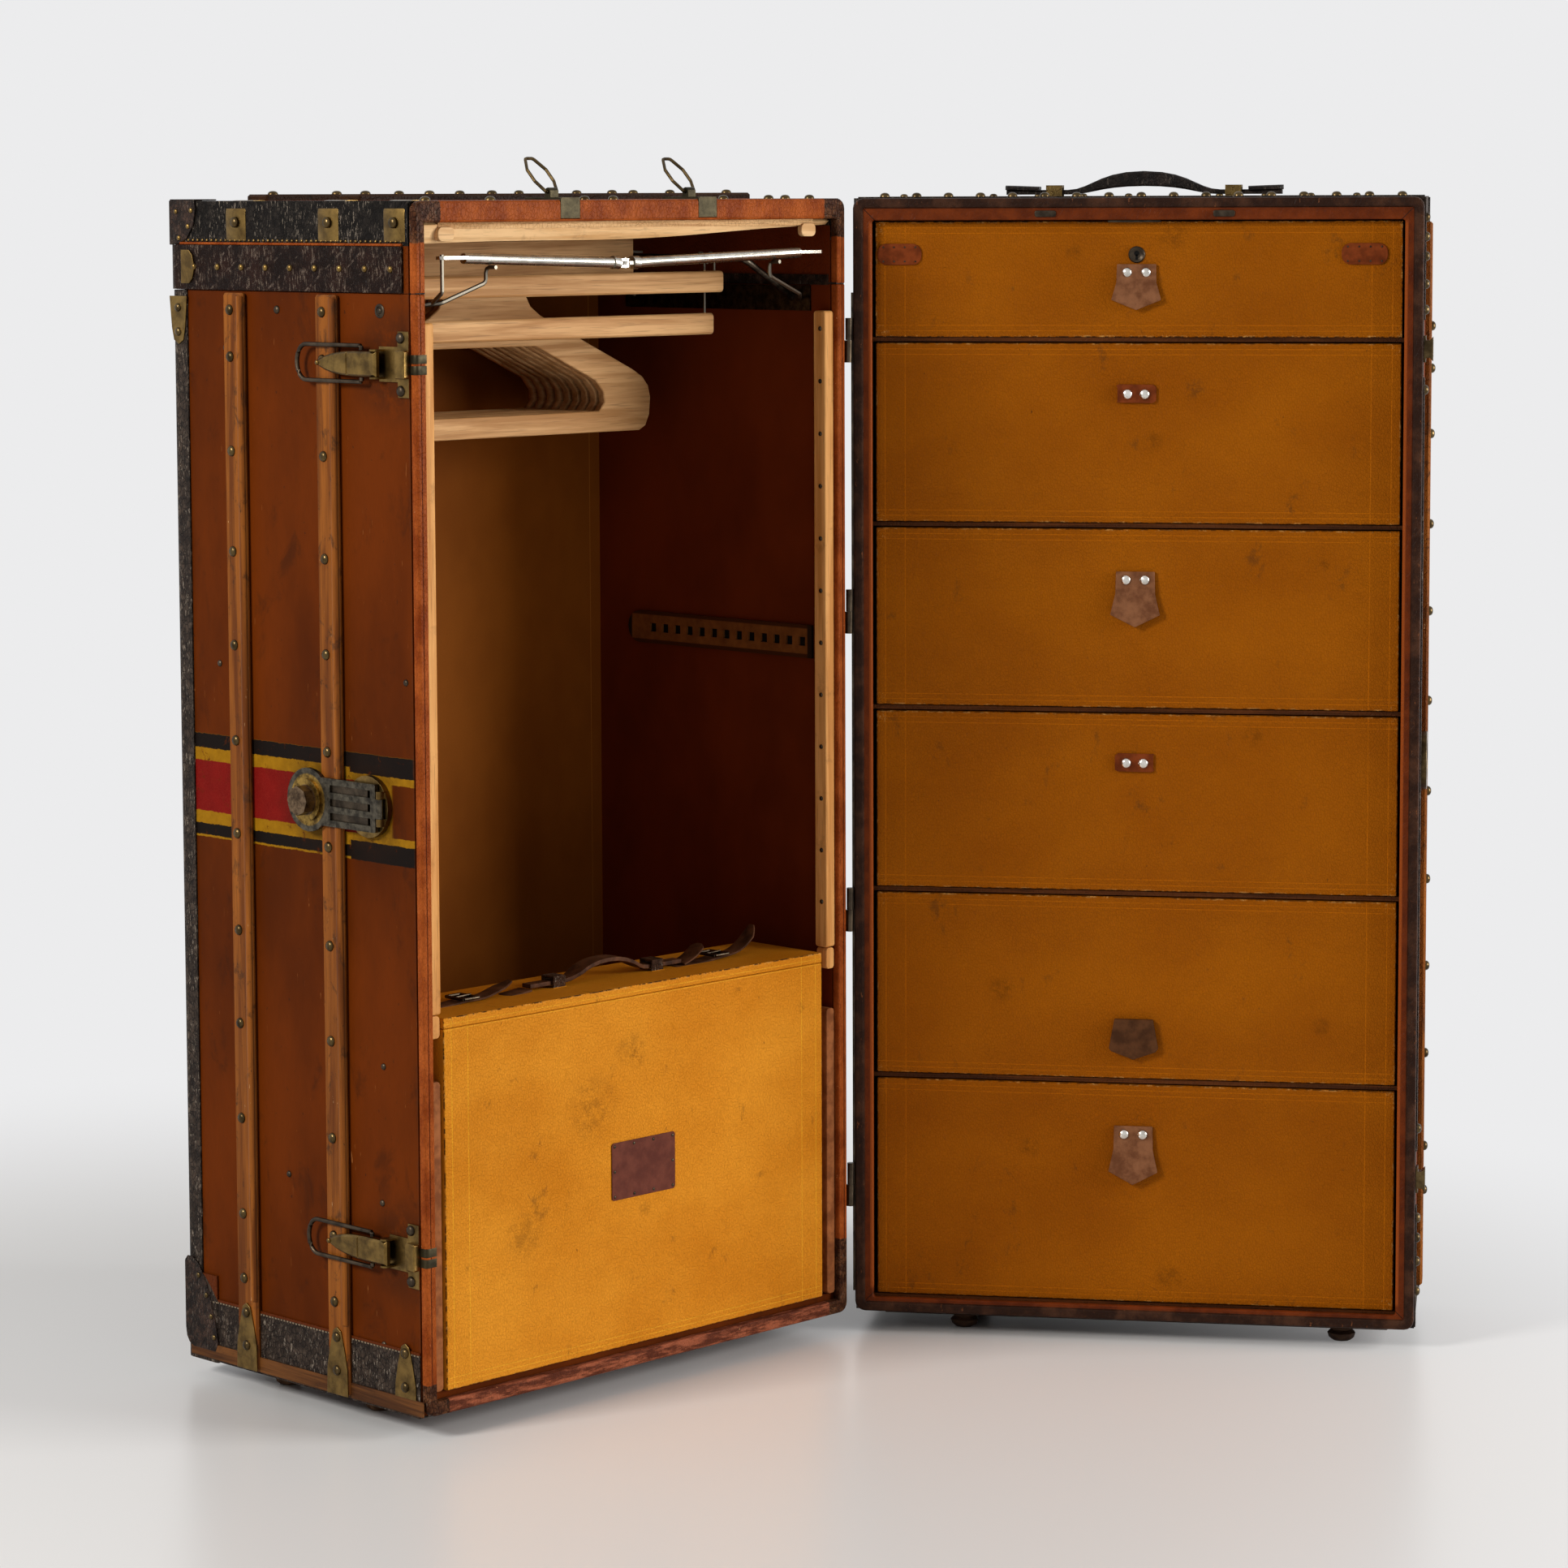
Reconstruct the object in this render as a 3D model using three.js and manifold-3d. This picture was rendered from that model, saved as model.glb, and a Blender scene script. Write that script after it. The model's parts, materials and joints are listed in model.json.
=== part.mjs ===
// Wardrobe trunk, stood on end and open: a chest of six drawers and a hanging half with a lid,
// joined by a row of hinges. Millimetres, +Z up. The chest's open front faces -Y.
import * as THREE from 'three';
import { mergeVertices } from 'three/addons/utils/BufferGeometryUtils.js';
import Module from 'manifold-3d';

const wasm = await Module();
wasm.setup();

// Clearances
const FIT = 0.3;
const FACE_GAP = 0.5;
const RUN = 0.5;
const OVERRUN = 4;

// The trunk as a whole
const TRUNK_W = 560;
const TRUNK_H = 1120;
const CHEST_D = 200;
const WARDROBE_D = 356;
const OPENING_DEG = 125.3;
const HINGE_OFF = 4;
const WALL = 12;
const BACK = 10;
const CORNER_R = 10;
const BATTEN_T = 8;
const GLIDE_H = 14;
const GLIDE_SHARES = [[0, 0], [0.62, 0], [0.85, 0.2], [0.95, 0.55], [0.7, 0.75], [0.9, 0.9]];

// Slats, strips and leather edges
const SLAT_W = 30;
const SLAT_T = 6;
const SLAT_EDGE = 2;
const SLAT_CORNER = 3;
const SLAT_REAR_SHARE = 0.722;
const SLAT_LOCK_GAP = 8;
const BACK_SLAT_SHARES = [0.343, 0.722];
const CHEST_BATTEN_SHARES = [0.22, 0.8];
const CHEST_GLIDE_SHARES = [0.19, 0.87];
const WARDROBE_GLIDE_SHARES = [0.08, 0.77];
const EDGE_T = 1.5;
const EDGE_W = 25;
const BASE_BAND_H = 60;
const CAP_T = 2.6;
const CAP_H = 83;
const CAP_W = 48;
const STRIP_W = 13;
const STRIP_D = 16;
const STRIP_SETBACK = 5;
const STRIP_CASE_GAP = 3.7;
const STRIP_TOP_GAP = 14;

// Front rims
const RIM_D = 10;
const RIM_SILL = 14;
const RIM_ROUND = 2.5;
const WARDROBE_FLOOR = 20;
const LID_H = 84;
const LID_RIM_TOP = 20;
const LID_BAND_H = 42;
const LID_BAND_T = 2.7;
const LID_BAND_START = 17;
const LID_BATTEN_D = 30;
const LID_BATTEN_T = 14;
const LID_BATTEN_INSET = 24;

// Chest and drawers
const RING_BEAD = 10;
const RING_INNER = 18.5;
const RING_TOP = 22;
const RING_STEP = 3;
const CHEST_FLOOR = 15.5;
const DUST_BOARD = 4;
const DRAWER_HEAD = 1.5;
const DRAWER_SIDE_GAP = 2.5;
const DRAWER_RECESS = 14;
const DRAWER_TAIL = 4;
const DRAWER_FRONT_T = 9;
const DRAWER_SIDE_T = 5;
const DRAWER_FLOOR_T = 4;
const DRAWER_HEIGHT_SHARES = [0.108, 0.169, 0.169, 0.169, 0.1745, 0.2105];
const KEYHOLE_R = 3;
const KEYHOLE_DROP = 32;
const KEYHOLE_TAIL = 8;

// Leather pulls
const PULL_W = 49;
const PULL_H = 55;
const PULL_T = 3;
const PULL_TILT_DEG = 5;
const PULL_DROP = 42;
const PULL_DROP_REVERSED = 123;
const PULL_HEIGHT_SHARES = { 1: 0.82, 3: 1, 5: 0.73, 6: 1.07 };
const PULL_OUTLINE_SHARES = [[0.78, 0], [0.8, 0.4], [1, 0.78]];

// Hinge row between the halves
const HINGE_HEIGHT_SHARES = [0.116, 0.366, 0.634, 0.875];
const HINGE_LEN = 44;
const HINGE_LEAF_W = 20;
const HINGE_LEAF_T = 2;
const HINGE_KNUCKLE_R = 3.4;
const HINGE_PIN_R = 1.6;
const HINGE_END_GAP = 20;

// Draw latches on the lock side
const LATCH_DROP = 148;
const LATCH_LOWER_Z = 150;
const LATCH_PIVOT_Y = 47.6;
const LATCH_PIVOT_H = 9.5;
const LATCH_PIN_R = 2;
const LEVER_L = 81;
const LEVER_W = 23;
const LEVER_T = 7.5;
const LEVER_SINK = 3.1;
const LEVER_SHOULDER_SHARE = 0.35;
const LEVER_NOSE_SHARES = [0.85, 0.9];
const LEVER_WAIST_SHARE = 0.42;
const BAIL_PIVOT_L = 18.4;
const BAIL_L = 92;
const BAIL_HALF_W = 16.5;
const BAIL_R = 2;
const BAIL_BEND = 9;
const LATCH_PLATE_T = 1.8;
const LATCH_PLATE_L = 41;
const LATCH_EAR_W = 15;
const LATCH_EAR_H = 60;
const LATCH_STEM_H = 32;
const LATCH_BOX_W = 13;
const LATCH_BOX_H = 26;
const LATCH_BOX_T = 8;
const LATCH_EDGE_GAP = 9;
const LUG_T = 1.7;
const LUG_R = 5;
const CATCH_NECK_H = 17;
const CATCH_LIP_H = 24;
const CATCH_T = 9;
const CATCH_BASE_T = 2;
const CATCH_LIP_T = 3.2;
const CATCH_W = 13;
const CATCH_LIP_REACH = 6;
const CATCH_SLACK = 2.6;

// Lock and hasp
const LOCK_RISE = 4;
const LOCK_HINGE_Y = 49;
const LOCK_HINGE_H = 9;
const LOCK_KNUCKLE_R = 3.4;
const LOCK_KNUCKLE_L = 18;
const LOCK_BASE_R = 29;
const LOCK_BASE_OFF = 21;
const LOCK_BASE_T = 5.9;
const HASP_W = 45;
const HASP_T = 3.8;
const HASP_REACH = 100.5;
const HASP_SLOT_W = 7;
const HASP_SLOT_PITCH = 13;
const BOSS_R = 30;
const COLLAR_R = 20;
const COLLAR_T = 2.6;
const STUD_R = 14;
const STUD_H = 13.4;
const STRIKE_POCKET = 8;
const LOCK_LUG_L = 7;
const LOCK_PIN_R = 1.5;

// Iron bands, runners, hooks and rail on the inner sides
const BAND_T = 2;
const BAND_H = 25;
const BAND_TOP_GAP = 2;
const BAND_FRONT = 36;
const BAND_REAR_GAP = 55;
const BAND_L = WARDROBE_D - BAND_FRONT - BAND_REAR_GAP;
const HANGER_SHIFT = 18;
const RUNNER_INSET = 15;
const RUNNER_DROP = 58;
const RUNNER_R = 3.5;
const RUNNER_BEND = 8;
const RUNNER_FRONT = 52;
const RUNNER_REAR_GAP = 30;
const RUNNER_REAR = WARDROBE_D - RUNNER_REAR_GAP;
const HOOK_R = 2;
const HOOK_INSET = 95;
const HOOK_BEND = 5;
const HOOK_TIP = 14;
const HOOK_KINK = 33.6;
const RAIL_DROP = 458;
const RAIL_H = 33;
const RAIL_T = 3;
const RAIL_FRONT = 34;
const RAIL_REAR_GAP = 56;
const RAIL_L = WARDROBE_D - RAIL_FRONT - RAIL_REAR_GAP;
const RAIL_HOLE = 9;
const RAIL_HOLES = 13;

// Clothes rod
const ROD_Y = 5;
const ROD_INSET = 35.5;
const ROD_DROP = 52;
const ROD_SAG = 7.5;
const ROD_JOINT_SHIFT = 16;
const ROD_R = 5;
const ROD_TONGUE_L = 26;
const ROD_TONGUE_T = 3;
const ROD_EAR_R = 5.2;
const ROD_EAR_T = 2.4;
const ROD_CLEAR = 8.5;
const ROD_PIN_R = 1.8;
const FERRULE_R = 6.2;
const FERRULE_L = 8;
const ROD_ROUND_SHARE = 0.9;
const ROD_EAR_SHARE = 0.8;

// Hangers
const HANGER_COUNT = 5;
const HANGER_FRONT = 205;
const HANGER_PITCH = 13;
const HANGER_T = 9;
const HANGER_SIDE_GAP = 46;
const HANGER_HANG = 174;
const HANGER_H = 192;
const HEAD_HALF_SHARE = 0.9;
const HEAD_LOW_SHARE = 0.823;
const NECK_HALF_SHARE = 0.223;
const HANGER_SHARES = [
  [0.93, 0], [1, 0.01, 1, 0.17], [1, 0.27, 0.887, 0.323], [0.33, 0.615],
  [NECK_HALF_SHARE, 0.67, NECK_HALF_SHARE, HEAD_LOW_SHARE], [HEAD_HALF_SHARE, HEAD_LOW_SHARE],
  [HEAD_HALF_SHARE, 1],
];
const HANGER_SLOT_SHARES = [[0.68, 0.11], [0.76, 0.17, 0.66, 0.27], [0.3, 0.46]];
const TONGUE_T = 2.5;
const TONGUE_REACH = 7;
const TONGUE_W = 6;
const BAR_H = 21;
const BAR_T = 9;
const BAR_UPPER_DROP = 92;
const BAR_LOWER_DROP = 134;
const BAR_UPPER_Y = 98;
const BAR_LOWER_Y = 112;
const BAR_WIRE_R = 1.2;
const BAR_HOOK_DROP = 6;
const BAR_BEND_SHARE = 0.98;

// Case on the floor of the hanging half
const CASE_LOCK_GAP = 1.5;
const CASE_HINGE_GAP = 7.5;
const CASE_H = 350;
const CASE_D = 105;
const CASE_FRONT = 4;
const CASE_WALL = 5;
const CASE_LID_T = 10;
const CASE_HANDLE_L = 200;
const CASE_HANDLE_W = 20;
const CASE_HANDLE_T = 4;
const CASE_HANDLE_RISE = 21;
const CASE_NECK_W = 12;

// Top handle and the staples of both handles
const HANDLE_L = 275;
const HANDLE_W = 22;
const HANDLE_NECK_W = 16;
const HANDLE_PAD_T = 4.7;
const HANDLE_PAD_LIFT = 2.8;
const HANDLE_GAP = 11;
const HANDLE_RISE = 26;
const PAD_SHARE = 0.55;
const ARCH_SHARES = [0.7, 0.6];
const GRIP_SHARE = 0.35;
const STAPLE_SPREAD_SHARE = 0.65;
const STAPLE_L = 16;
const STAPLE_T = 2.4;
const STAPLE_HEADROOM = 2.2;

// Clips on the lid
const CLIP_SPREAD = 89.5;
const CLIP_W = 24;
const CLIP_L = 50;
const CLIP_T = 2;
const CLIP_TAB_H = 17;
const CLIP_TAB_T = 1.4;
const CLIP_PIVOT_Y = 26;
const CLIP_PIVOT_H = 7.5;
const CLIP_LUG_W = 10;
const CLIP_LUG_R = 4;
const CLIP_BAIL_L = 44;
const CLIP_BAIL_HALF_W = 12;
const CLIP_BAIL_R = 1.6;
const CLIP_LEAN_DEG = 45;
const CLIP_BAIL_SHARES = [[1, 0.32], [1, 0.66], [0.4, 1]];

// Lid hinge
const LID_AXIS_OUT = 6.5;
const LID_LEAF_H = 30;
const LID_LEAF_T = 2;
const LID_KNUCKLE_R = 3;
const LID_HINGE_INSET = 90;
const LID_KNUCKLE_COUNT = 5;

// Places that follow from the sizes above
const FOOT_H = BATTEN_T + GLIDE_H;
const LOCK_X = -(HINGE_OFF + TRUNK_W);
const HINGE_X = -HINGE_OFF;
const LOCK_IN = LOCK_X + WALL;
const HINGE_IN = HINGE_X - WALL;
const MID_X = (LOCK_X + HINGE_X) / 2;
const PART_Z = TRUNK_H - LID_H;
const FRONT = FACE_GAP / 2;
const SHELL_FRONT = RIM_D + FIT;
const HANGER_X = MID_X - HANGER_SHIFT;
const ROD_JOINT_X = MID_X - ROD_JOINT_SHIFT;
const CHEST_X0 = HINGE_OFF;
const CHEST_X1 = HINGE_OFF + TRUNK_W;
const CHEST_MID = (CHEST_X0 + CHEST_X1) / 2;
const LATCH_UPPER_Z = TRUNK_H - LATCH_DROP;
const LOCK_Z = TRUNK_H / 2 + LOCK_RISE;
const SLAT_LOCK_Y = LOCK_HINGE_Y + LOCK_BASE_OFF + LOCK_BASE_R + SLAT_LOCK_GAP + SLAT_W / 2;
const SLAT_PLACES = [SLAT_LOCK_Y, SLAT_REAR_SHARE * WARDROBE_D];
const CASE_Z0 = WARDROBE_FLOOR + FIT;
const CASE_X0 = LOCK_IN + STRIP_W + CASE_LOCK_GAP;
const CASE_X1 = HINGE_IN - STRIP_W - CASE_HINGE_GAP;
const CASE_X = (CASE_X0 + CASE_X1) / 2;
const STRIP_LOW = CASE_Z0 + CASE_H + STRIP_CASE_GAP;
const HANGER_HALF_W = TRUNK_W / 2 - WALL - HANGER_SIDE_GAP;
const RUNNER_HALF = HANGER_HALF_W - RUNNER_INSET;
const RUNNER_Z = TRUNK_H - RUNNER_DROP;
const HANGER_Z = RUNNER_Z - HANGER_HANG;
const HOOK_SPREAD = TRUNK_W / 2 - HOOK_INSET;
const ROD_HALF = TRUNK_W / 2 - ROD_INSET;
const ROD_END_Z = TRUNK_H - ROD_DROP;
const ROD_JOINT_Z = ROD_END_Z - ROD_SAG;
const RAIL_Z = TRUNK_H - RAIL_DROP;
const BAR_UPPER_Z = TRUNK_H - BAR_UPPER_DROP;
const BAR_LOWER_Z = TRUNK_H - BAR_LOWER_DROP;

const AXIS_X = new THREE.Vector3(1, 0, 0);
const AXIS_Y = new THREE.Vector3(0, 1, 0);
const AXIS_Z = new THREE.Vector3(0, 0, 1);
const at = (x, y, z) => new THREE.Vector3(x, y, z);

// Solids

function solidOf(geometry) {
  geometry.deleteAttribute('normal');
  geometry.deleteAttribute('uv');
  const merged = mergeVertices(geometry);
  const triangles = new Uint32Array(merged.index.array);
  const vertices = new Float32Array(merged.attributes.position.array);
  const mesh = { numProp: 3, vertProperties: vertices, triVerts: triangles };
  const solid = new wasm.Manifold(new wasm.Mesh(mesh));
  if (solid.volume() > 0) return solid;
  for (let i = 0; i < triangles.length; i += 3) {
    [triangles[i], triangles[i + 1]] = [triangles[i + 1], triangles[i]];
  }
  return new wasm.Manifold(new wasm.Mesh(mesh));
}

function geometryOf(solid) {
  const mesh = solid.getMesh();
  const geometry = new THREE.BufferGeometry();
  geometry.setAttribute('position', new THREE.BufferAttribute(new Float32Array(mesh.vertProperties), 3));
  geometry.setIndex(new THREE.BufferAttribute(new Uint32Array(mesh.triVerts), 1));
  geometry.computeVertexNormals();
  return geometry;
}

const joined = (solids) => solids.reduce((sum, solid) => sum.add(solid));
const cut = (solid, cutters) => cutters.reduce((rest, cutter) => rest.subtract(cutter), solid);

function block(x0, x1, y0, y1, z0, z1) {
  const geometry = new THREE.BoxGeometry(x1 - x0, y1 - y0, z1 - z0);
  geometry.translate((x0 + x1) / 2, (y0 + y1) / 2, (z0 + z1) / 2);
  return solidOf(geometry);
}

function roundedRect(u0, u1, v0, v1, radius) {
  const shape = new THREE.Shape();
  shape.moveTo(u0 + radius, v0);
  shape.lineTo(u1 - radius, v0);
  shape.absarc(u1 - radius, v0 + radius, radius, -Math.PI / 2, 0);
  shape.lineTo(u1, v1 - radius);
  shape.absarc(u1 - radius, v1 - radius, radius, 0, Math.PI / 2);
  shape.lineTo(u0 + radius, v1);
  shape.absarc(u0 + radius, v1 - radius, radius, Math.PI / 2, Math.PI);
  shape.lineTo(u0, v0 + radius);
  shape.absarc(u0 + radius, v0 + radius, radius, Math.PI, 1.5 * Math.PI);
  return shape;
}

function polygon(points) {
  return new THREE.Shape(points.map(([u, v]) => new THREE.Vector2(u, v)));
}

// An outline extruded to a depth, with both its edges rounded by the given amount
function extruded(shape, depth, round, segments) {
  const geometry = new THREE.ExtrudeGeometry(shape, {
    depth: depth - 2 * round,
    bevelEnabled: round > 0,
    bevelThickness: round,
    bevelSize: round,
    bevelOffset: -round,
    bevelSegments: round < RIM_ROUND ? 1 : 2,
    curveSegments: segments,
  });
  geometry.translate(0, 0, round);
  return solidOf(geometry);
}

function laid(solid, right, up, origin) {
  const out = right.clone().cross(up);
  return solid.transform(new THREE.Matrix4().makeBasis(right, up, out).setPosition(origin).elements);
}

// Outlines drawn in (y, z), (x, z) and (x, y), and extruded between two planes
function sidePlate(shape, x0, x1, round = 0, segments = 2) {
  return laid(extruded(shape, x1 - x0, round, segments), AXIS_Y, AXIS_Z, at(x0, 0, 0));
}

function frontPlate(shape, y0, y1, round = 0, segments = 2) {
  return laid(extruded(shape, y1 - y0, round, segments), AXIS_X, AXIS_Z, at(0, y1, 0));
}

function topPlate(shape, z0, z1, round = 0, segments = 2) {
  return laid(extruded(shape, z1 - z0, round, segments), AXIS_X, AXIS_Y, at(0, 0, z0));
}

function pin(from, to, radius, sides = 10) {
  const along = to.clone().sub(from);
  const geometry = new THREE.CylinderGeometry(radius, radius, along.length(), sides);
  const turn = new THREE.Quaternion().setFromUnitVectors(AXIS_Y, along.clone().normalize());
  geometry.applyQuaternion(turn);
  const middle = from.clone().add(to).multiplyScalar(0.5);
  geometry.translate(middle.x, middle.y, middle.z);
  return solidOf(geometry);
}

// A profile of (radius, height) points turned about a vertical axis
function turned(profile, x, y, sides = 9) {
  const geometry = new THREE.LatheGeometry(profile.map(([r, h]) => new THREE.Vector2(r, h)), sides);
  geometry.rotateX(Math.PI / 2);
  geometry.translate(x, y, 0);
  return solidOf(geometry);
}

class NodePath extends THREE.Curve {
  constructor(nodes) {
    super();
    this.nodes = nodes;
  }

  getPoint(t, target = new THREE.Vector3()) {
    const place = t * (this.nodes.length - 1);
    const i = Math.min(Math.floor(place), this.nodes.length - 2);
    return target.lerpVectors(this.nodes[i], this.nodes[i + 1], place - i);
  }

  getUtoTmapping(u) {
    return u;
  }
}

function roundedRoute(points, bend, steps) {
  const nodes = [points[0]];
  for (let i = 1; i < points.length - 1; i += 1) {
    const into = points[i].clone().sub(points[i - 1]).normalize();
    const away = points[i + 1].clone().sub(points[i]).normalize();
    const turn = into.angleTo(away);
    const inward = away.clone().addScaledVector(into, -into.dot(away)).normalize();
    const start = points[i].clone().addScaledVector(into, -bend * Math.tan(turn / 2));
    const centre = start.clone().addScaledVector(inward, bend);
    for (let k = 0; k <= steps; k += 1) {
      const angle = (turn * k) / steps;
      const node = centre.clone().addScaledVector(inward, -bend * Math.cos(angle));
      nodes.push(node.addScaledVector(into, bend * Math.sin(angle)));
    }
  }
  nodes.push(points[points.length - 1]);
  return nodes;
}

function wire(points, radius, bend, sides = 6, steps = 2) {
  const nodes = roundedRoute(points, bend, steps);
  const section = new THREE.Shape();
  section.absarc(0, 0, radius, 0, 2 * Math.PI);
  const geometry = new THREE.ExtrudeGeometry(section, {
    steps: nodes.length - 1,
    curveSegments: sides / 2,
    extrudePath: new NodePath(nodes),
  });
  return solidOf(geometry);
}

// Materials

const finish = (color, roughness, metalness = 0) =>
  new THREE.MeshStandardMaterial({ color, roughness, metalness });

const CANVAS = finish(0x8a4a1c, 0.55);
const LACQUER = finish(0xae5a28, 0.5);
const DARK_LEATHER = finish(0x3c2d28, 0.6);
const SLAT_WOOD = finish(0xa8682f, 0.5);
const PALE_WOOD = finish(0xcda573, 0.6);
const DRAWER_CLOTH = finish(0xa8660a, 0.6);
const CASE_CLOTH = finish(0xd79132, 0.6);
const TAN_LEATHER = finish(0x8a5a3c, 0.6);
const BRASS = finish(0x786437, 0.45, 1);
const IRON = finish(0x3a3530, 0.5, 1);
const NICKEL = finish(0xdcd7cd, 0.25, 1);

function piece(parent, name, material, solid) {
  const mesh = new THREE.Mesh(geometryOf(solid), material);
  mesh.name = name;
  parent.add(mesh);
}

// Shared forms of both halves

// A box open to the front, with its rear upright edges rounded
function shell(x0, x1, y1, z0, z1) {
  const plan = roundedRect(x0, x1, SHELL_FRONT - 2 * CORNER_R, y1, CORNER_R);
  return topPlate(plan, z0, z1).subtract(
    block(x0 - OVERRUN, x1 + OVERRUN, -WARDROBE_D, SHELL_FRONT, z0 - OVERRUN, z1 + OVERRUN),
  );
}

// The layer between two offsets of a box whose front is open, for leather edges. It closes over the
// bottom unless it is a band.
function layer(x0, x1, y0, y1, z0, z1, thickness, isBand = false) {
  const outer = FIT + thickness;
  const plan = (offset) =>
    roundedRect(x0 - offset, x1 + offset, y0 - CORNER_R, y1 + offset, CORNER_R + offset);
  const [outerLow, innerLow] = isBand ? [z0, z0 - OVERRUN] : [z0 - outer, z0 - FIT];
  const skin = topPlate(plan(outer), outerLow, z1).subtract(topPlate(plan(FIT), innerLow, z1 + OVERRUN));
  return skin.subtract(
    block(x0 - 2 * outer, x1 + 2 * outer, y0 - 2 * CORNER_R, y0, z0 - 2 * outer, z1 + OVERRUN),
  );
}

function backSlats(x0, x1, y, z0, z1) {
  return BACK_SLAT_SHARES.map((share) => {
    const x = x0 + share * (x1 - x0);
    const outline = roundedRect(x - SLAT_W / 2, x + SLAT_W / 2, z0, z1, SLAT_CORNER);
    return frontPlate(outline, y - BACK / 2, y + SLAT_T, SLAT_EDGE);
  });
}

// A floor batten with two flat-bottomed glides
function batten(x0, x1, y, glideXs) {
  const outline = roundedRect(x0, x1, y - SLAT_W / 2, y + SLAT_W / 2, SLAT_CORNER);
  const board = topPlate(outline, -BATTEN_T, -FIT, SLAT_EDGE);
  const foot = SLAT_W / 2;
  const profile = GLIDE_SHARES.map(([r, h]) => [r * foot, h * GLIDE_H - FOOT_H]);
  const [neck] = profile[profile.length - 1];
  profile.push([neck, -BATTEN_T / 2], [0, -BATTEN_T / 2]);
  return joined([board, ...glideXs.map((x) => turned(profile, x, y))]);
}

// Profile of a handle in (along, up) from its middle: two flat ends and an arch between them
function handleProfile(length, lift, thickness, gap, rise) {
  const end = length / 2;
  const pad = PAD_SHARE * end;
  const top = lift + thickness;
  const [foot, crown] = ARCH_SHARES.map((share) => share * pad);
  const shape = new THREE.Shape();
  shape.moveTo(-end, lift);
  shape.lineTo(-pad, lift);
  shape.bezierCurveTo(-foot, lift, -crown, gap, 0, gap);
  shape.bezierCurveTo(crown, gap, foot, lift, pad, lift);
  shape.lineTo(end, lift);
  shape.lineTo(end, top);
  shape.lineTo(pad, top);
  shape.bezierCurveTo(foot, top, crown, rise, 0, rise);
  shape.bezierCurveTo(-crown, rise, -foot, top, -pad, top);
  shape.lineTo(-end, top);
  return shape;
}

// Plan of a handle: broad ends, narrow necks under the staples and a broad grip
function handlePlan(length, width, neck) {
  const end = length / 2;
  const neckEnd = STAPLE_SPREAD_SHARE * end - STAPLE_L;
  const side = [
    [end, 0.5 * neck],
    [neckEnd, 0.5 * neck],
    [GRIP_SHARE * end, 0.5 * width],
    [-GRIP_SHARE * end, 0.5 * width],
    [-neckEnd, 0.5 * neck],
    [-end, 0.5 * neck],
  ];
  return polygon([...side, ...side.map(([u, v]) => [u, -v]).reverse()]);
}

function handle({ x, y, z, length, width, neck, lift, thickness, gap, rise, round }) {
  const side = frontPlate(handleProfile(length, lift, thickness, gap, rise), -width / 2, width / 2, round, 7);
  const plan = topPlate(handlePlan(length, width, neck), 0, 2 * rise);
  return side.intersect(plan).translate(x, y, z);
}

// Two staples that stand over a handle's necks, rooted in the board below
function staples(x, y, z, length, neck, top, root) {
  const inner = neck / 2 + 2 * FIT;
  const roof = top + STAPLE_HEADROOM;
  return [-1, 1].map((sign) => {
    const centre = x + (sign * STAPLE_SPREAD_SHARE * length) / 2;
    const arch = block(
      centre - STAPLE_L / 2, centre + STAPLE_L / 2,
      y - inner - STAPLE_T, y + inner + STAPLE_T, z - root, z + roof + STAPLE_T,
    );
    return arch.subtract(block(
      centre - STAPLE_L, centre + STAPLE_L, y - inner, y + inner, z, z + roof,
    ));
  });
}

// A long hinge leaf with knuckles round the trunk's hinge axis. side is 1 for the chest, -1 for the other.
function hingeLeaf(side, z0, z1, lowerHalf) {
  const inner = side * (HINGE_OFF - FIT);
  const outer = side * (HINGE_OFF - FIT - HINGE_LEAF_T);
  const [x0, x1] = [Math.min(inner, outer), Math.max(inner, outer)];
  const start = HINGE_KNUCKLE_R + FIT + FACE_GAP;
  const parts = [block(x0, x1, start, start + HINGE_LEAF_W, z0, z1)];
  const holes = [];
  for (const share of HINGE_HEIGHT_SHARES) {
    const z = share * TRUNK_H;
    const low = lowerHalf ? z - HINGE_LEN / 2 : z + FIT / 2;
    const high = lowerHalf ? z - FIT / 2 : z + HINGE_LEN / 2;
    parts.push(block(x0, x1, 0, start + FIT, low, high));
    parts.push(pin(at(0, 0, low), at(0, 0, high), HINGE_KNUCKLE_R));
    if (lowerHalf) {
      holes.push(pin(at(0, 0, low - OVERRUN), at(0, 0, high + OVERRUN), HINGE_PIN_R + FIT));
    } else {
      parts.push(pin(at(0, 0, z - HINGE_LEN / 2), at(0, 0, high), HINGE_PIN_R));
    }
  }
  return cut(joined(parts), holes);
}

// Chest half

const OPEN_X0 = CHEST_X0 + RING_INNER;
const OPEN_X1 = CHEST_X1 - RING_INNER;
const OPEN_Z0 = RIM_SILL;
const OPEN_Z1 = TRUNK_H - RING_TOP;
const DRAWER_X0 = OPEN_X0 + DRAWER_SIDE_GAP;
const DRAWER_X1 = OPEN_X1 - DRAWER_SIDE_GAP;
const DRAWER_Y0 = DRAWER_RECESS;
const DRAWER_Y1 = CHEST_D - BACK - DRAWER_TAIL;
const DRAWERS = DRAWER_HEIGHT_SHARES.length;
const STACK_H = OPEN_Z1 - DRAWER_HEAD - CHEST_FLOOR - RUN - (DRAWERS - 1) * (DUST_BOARD + RUN + DRAWER_HEAD);
const HANDLE_Y = CHEST_D / 2;
const STRIKE_Y = HASP_REACH - LOCK_HINGE_Y;

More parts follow.
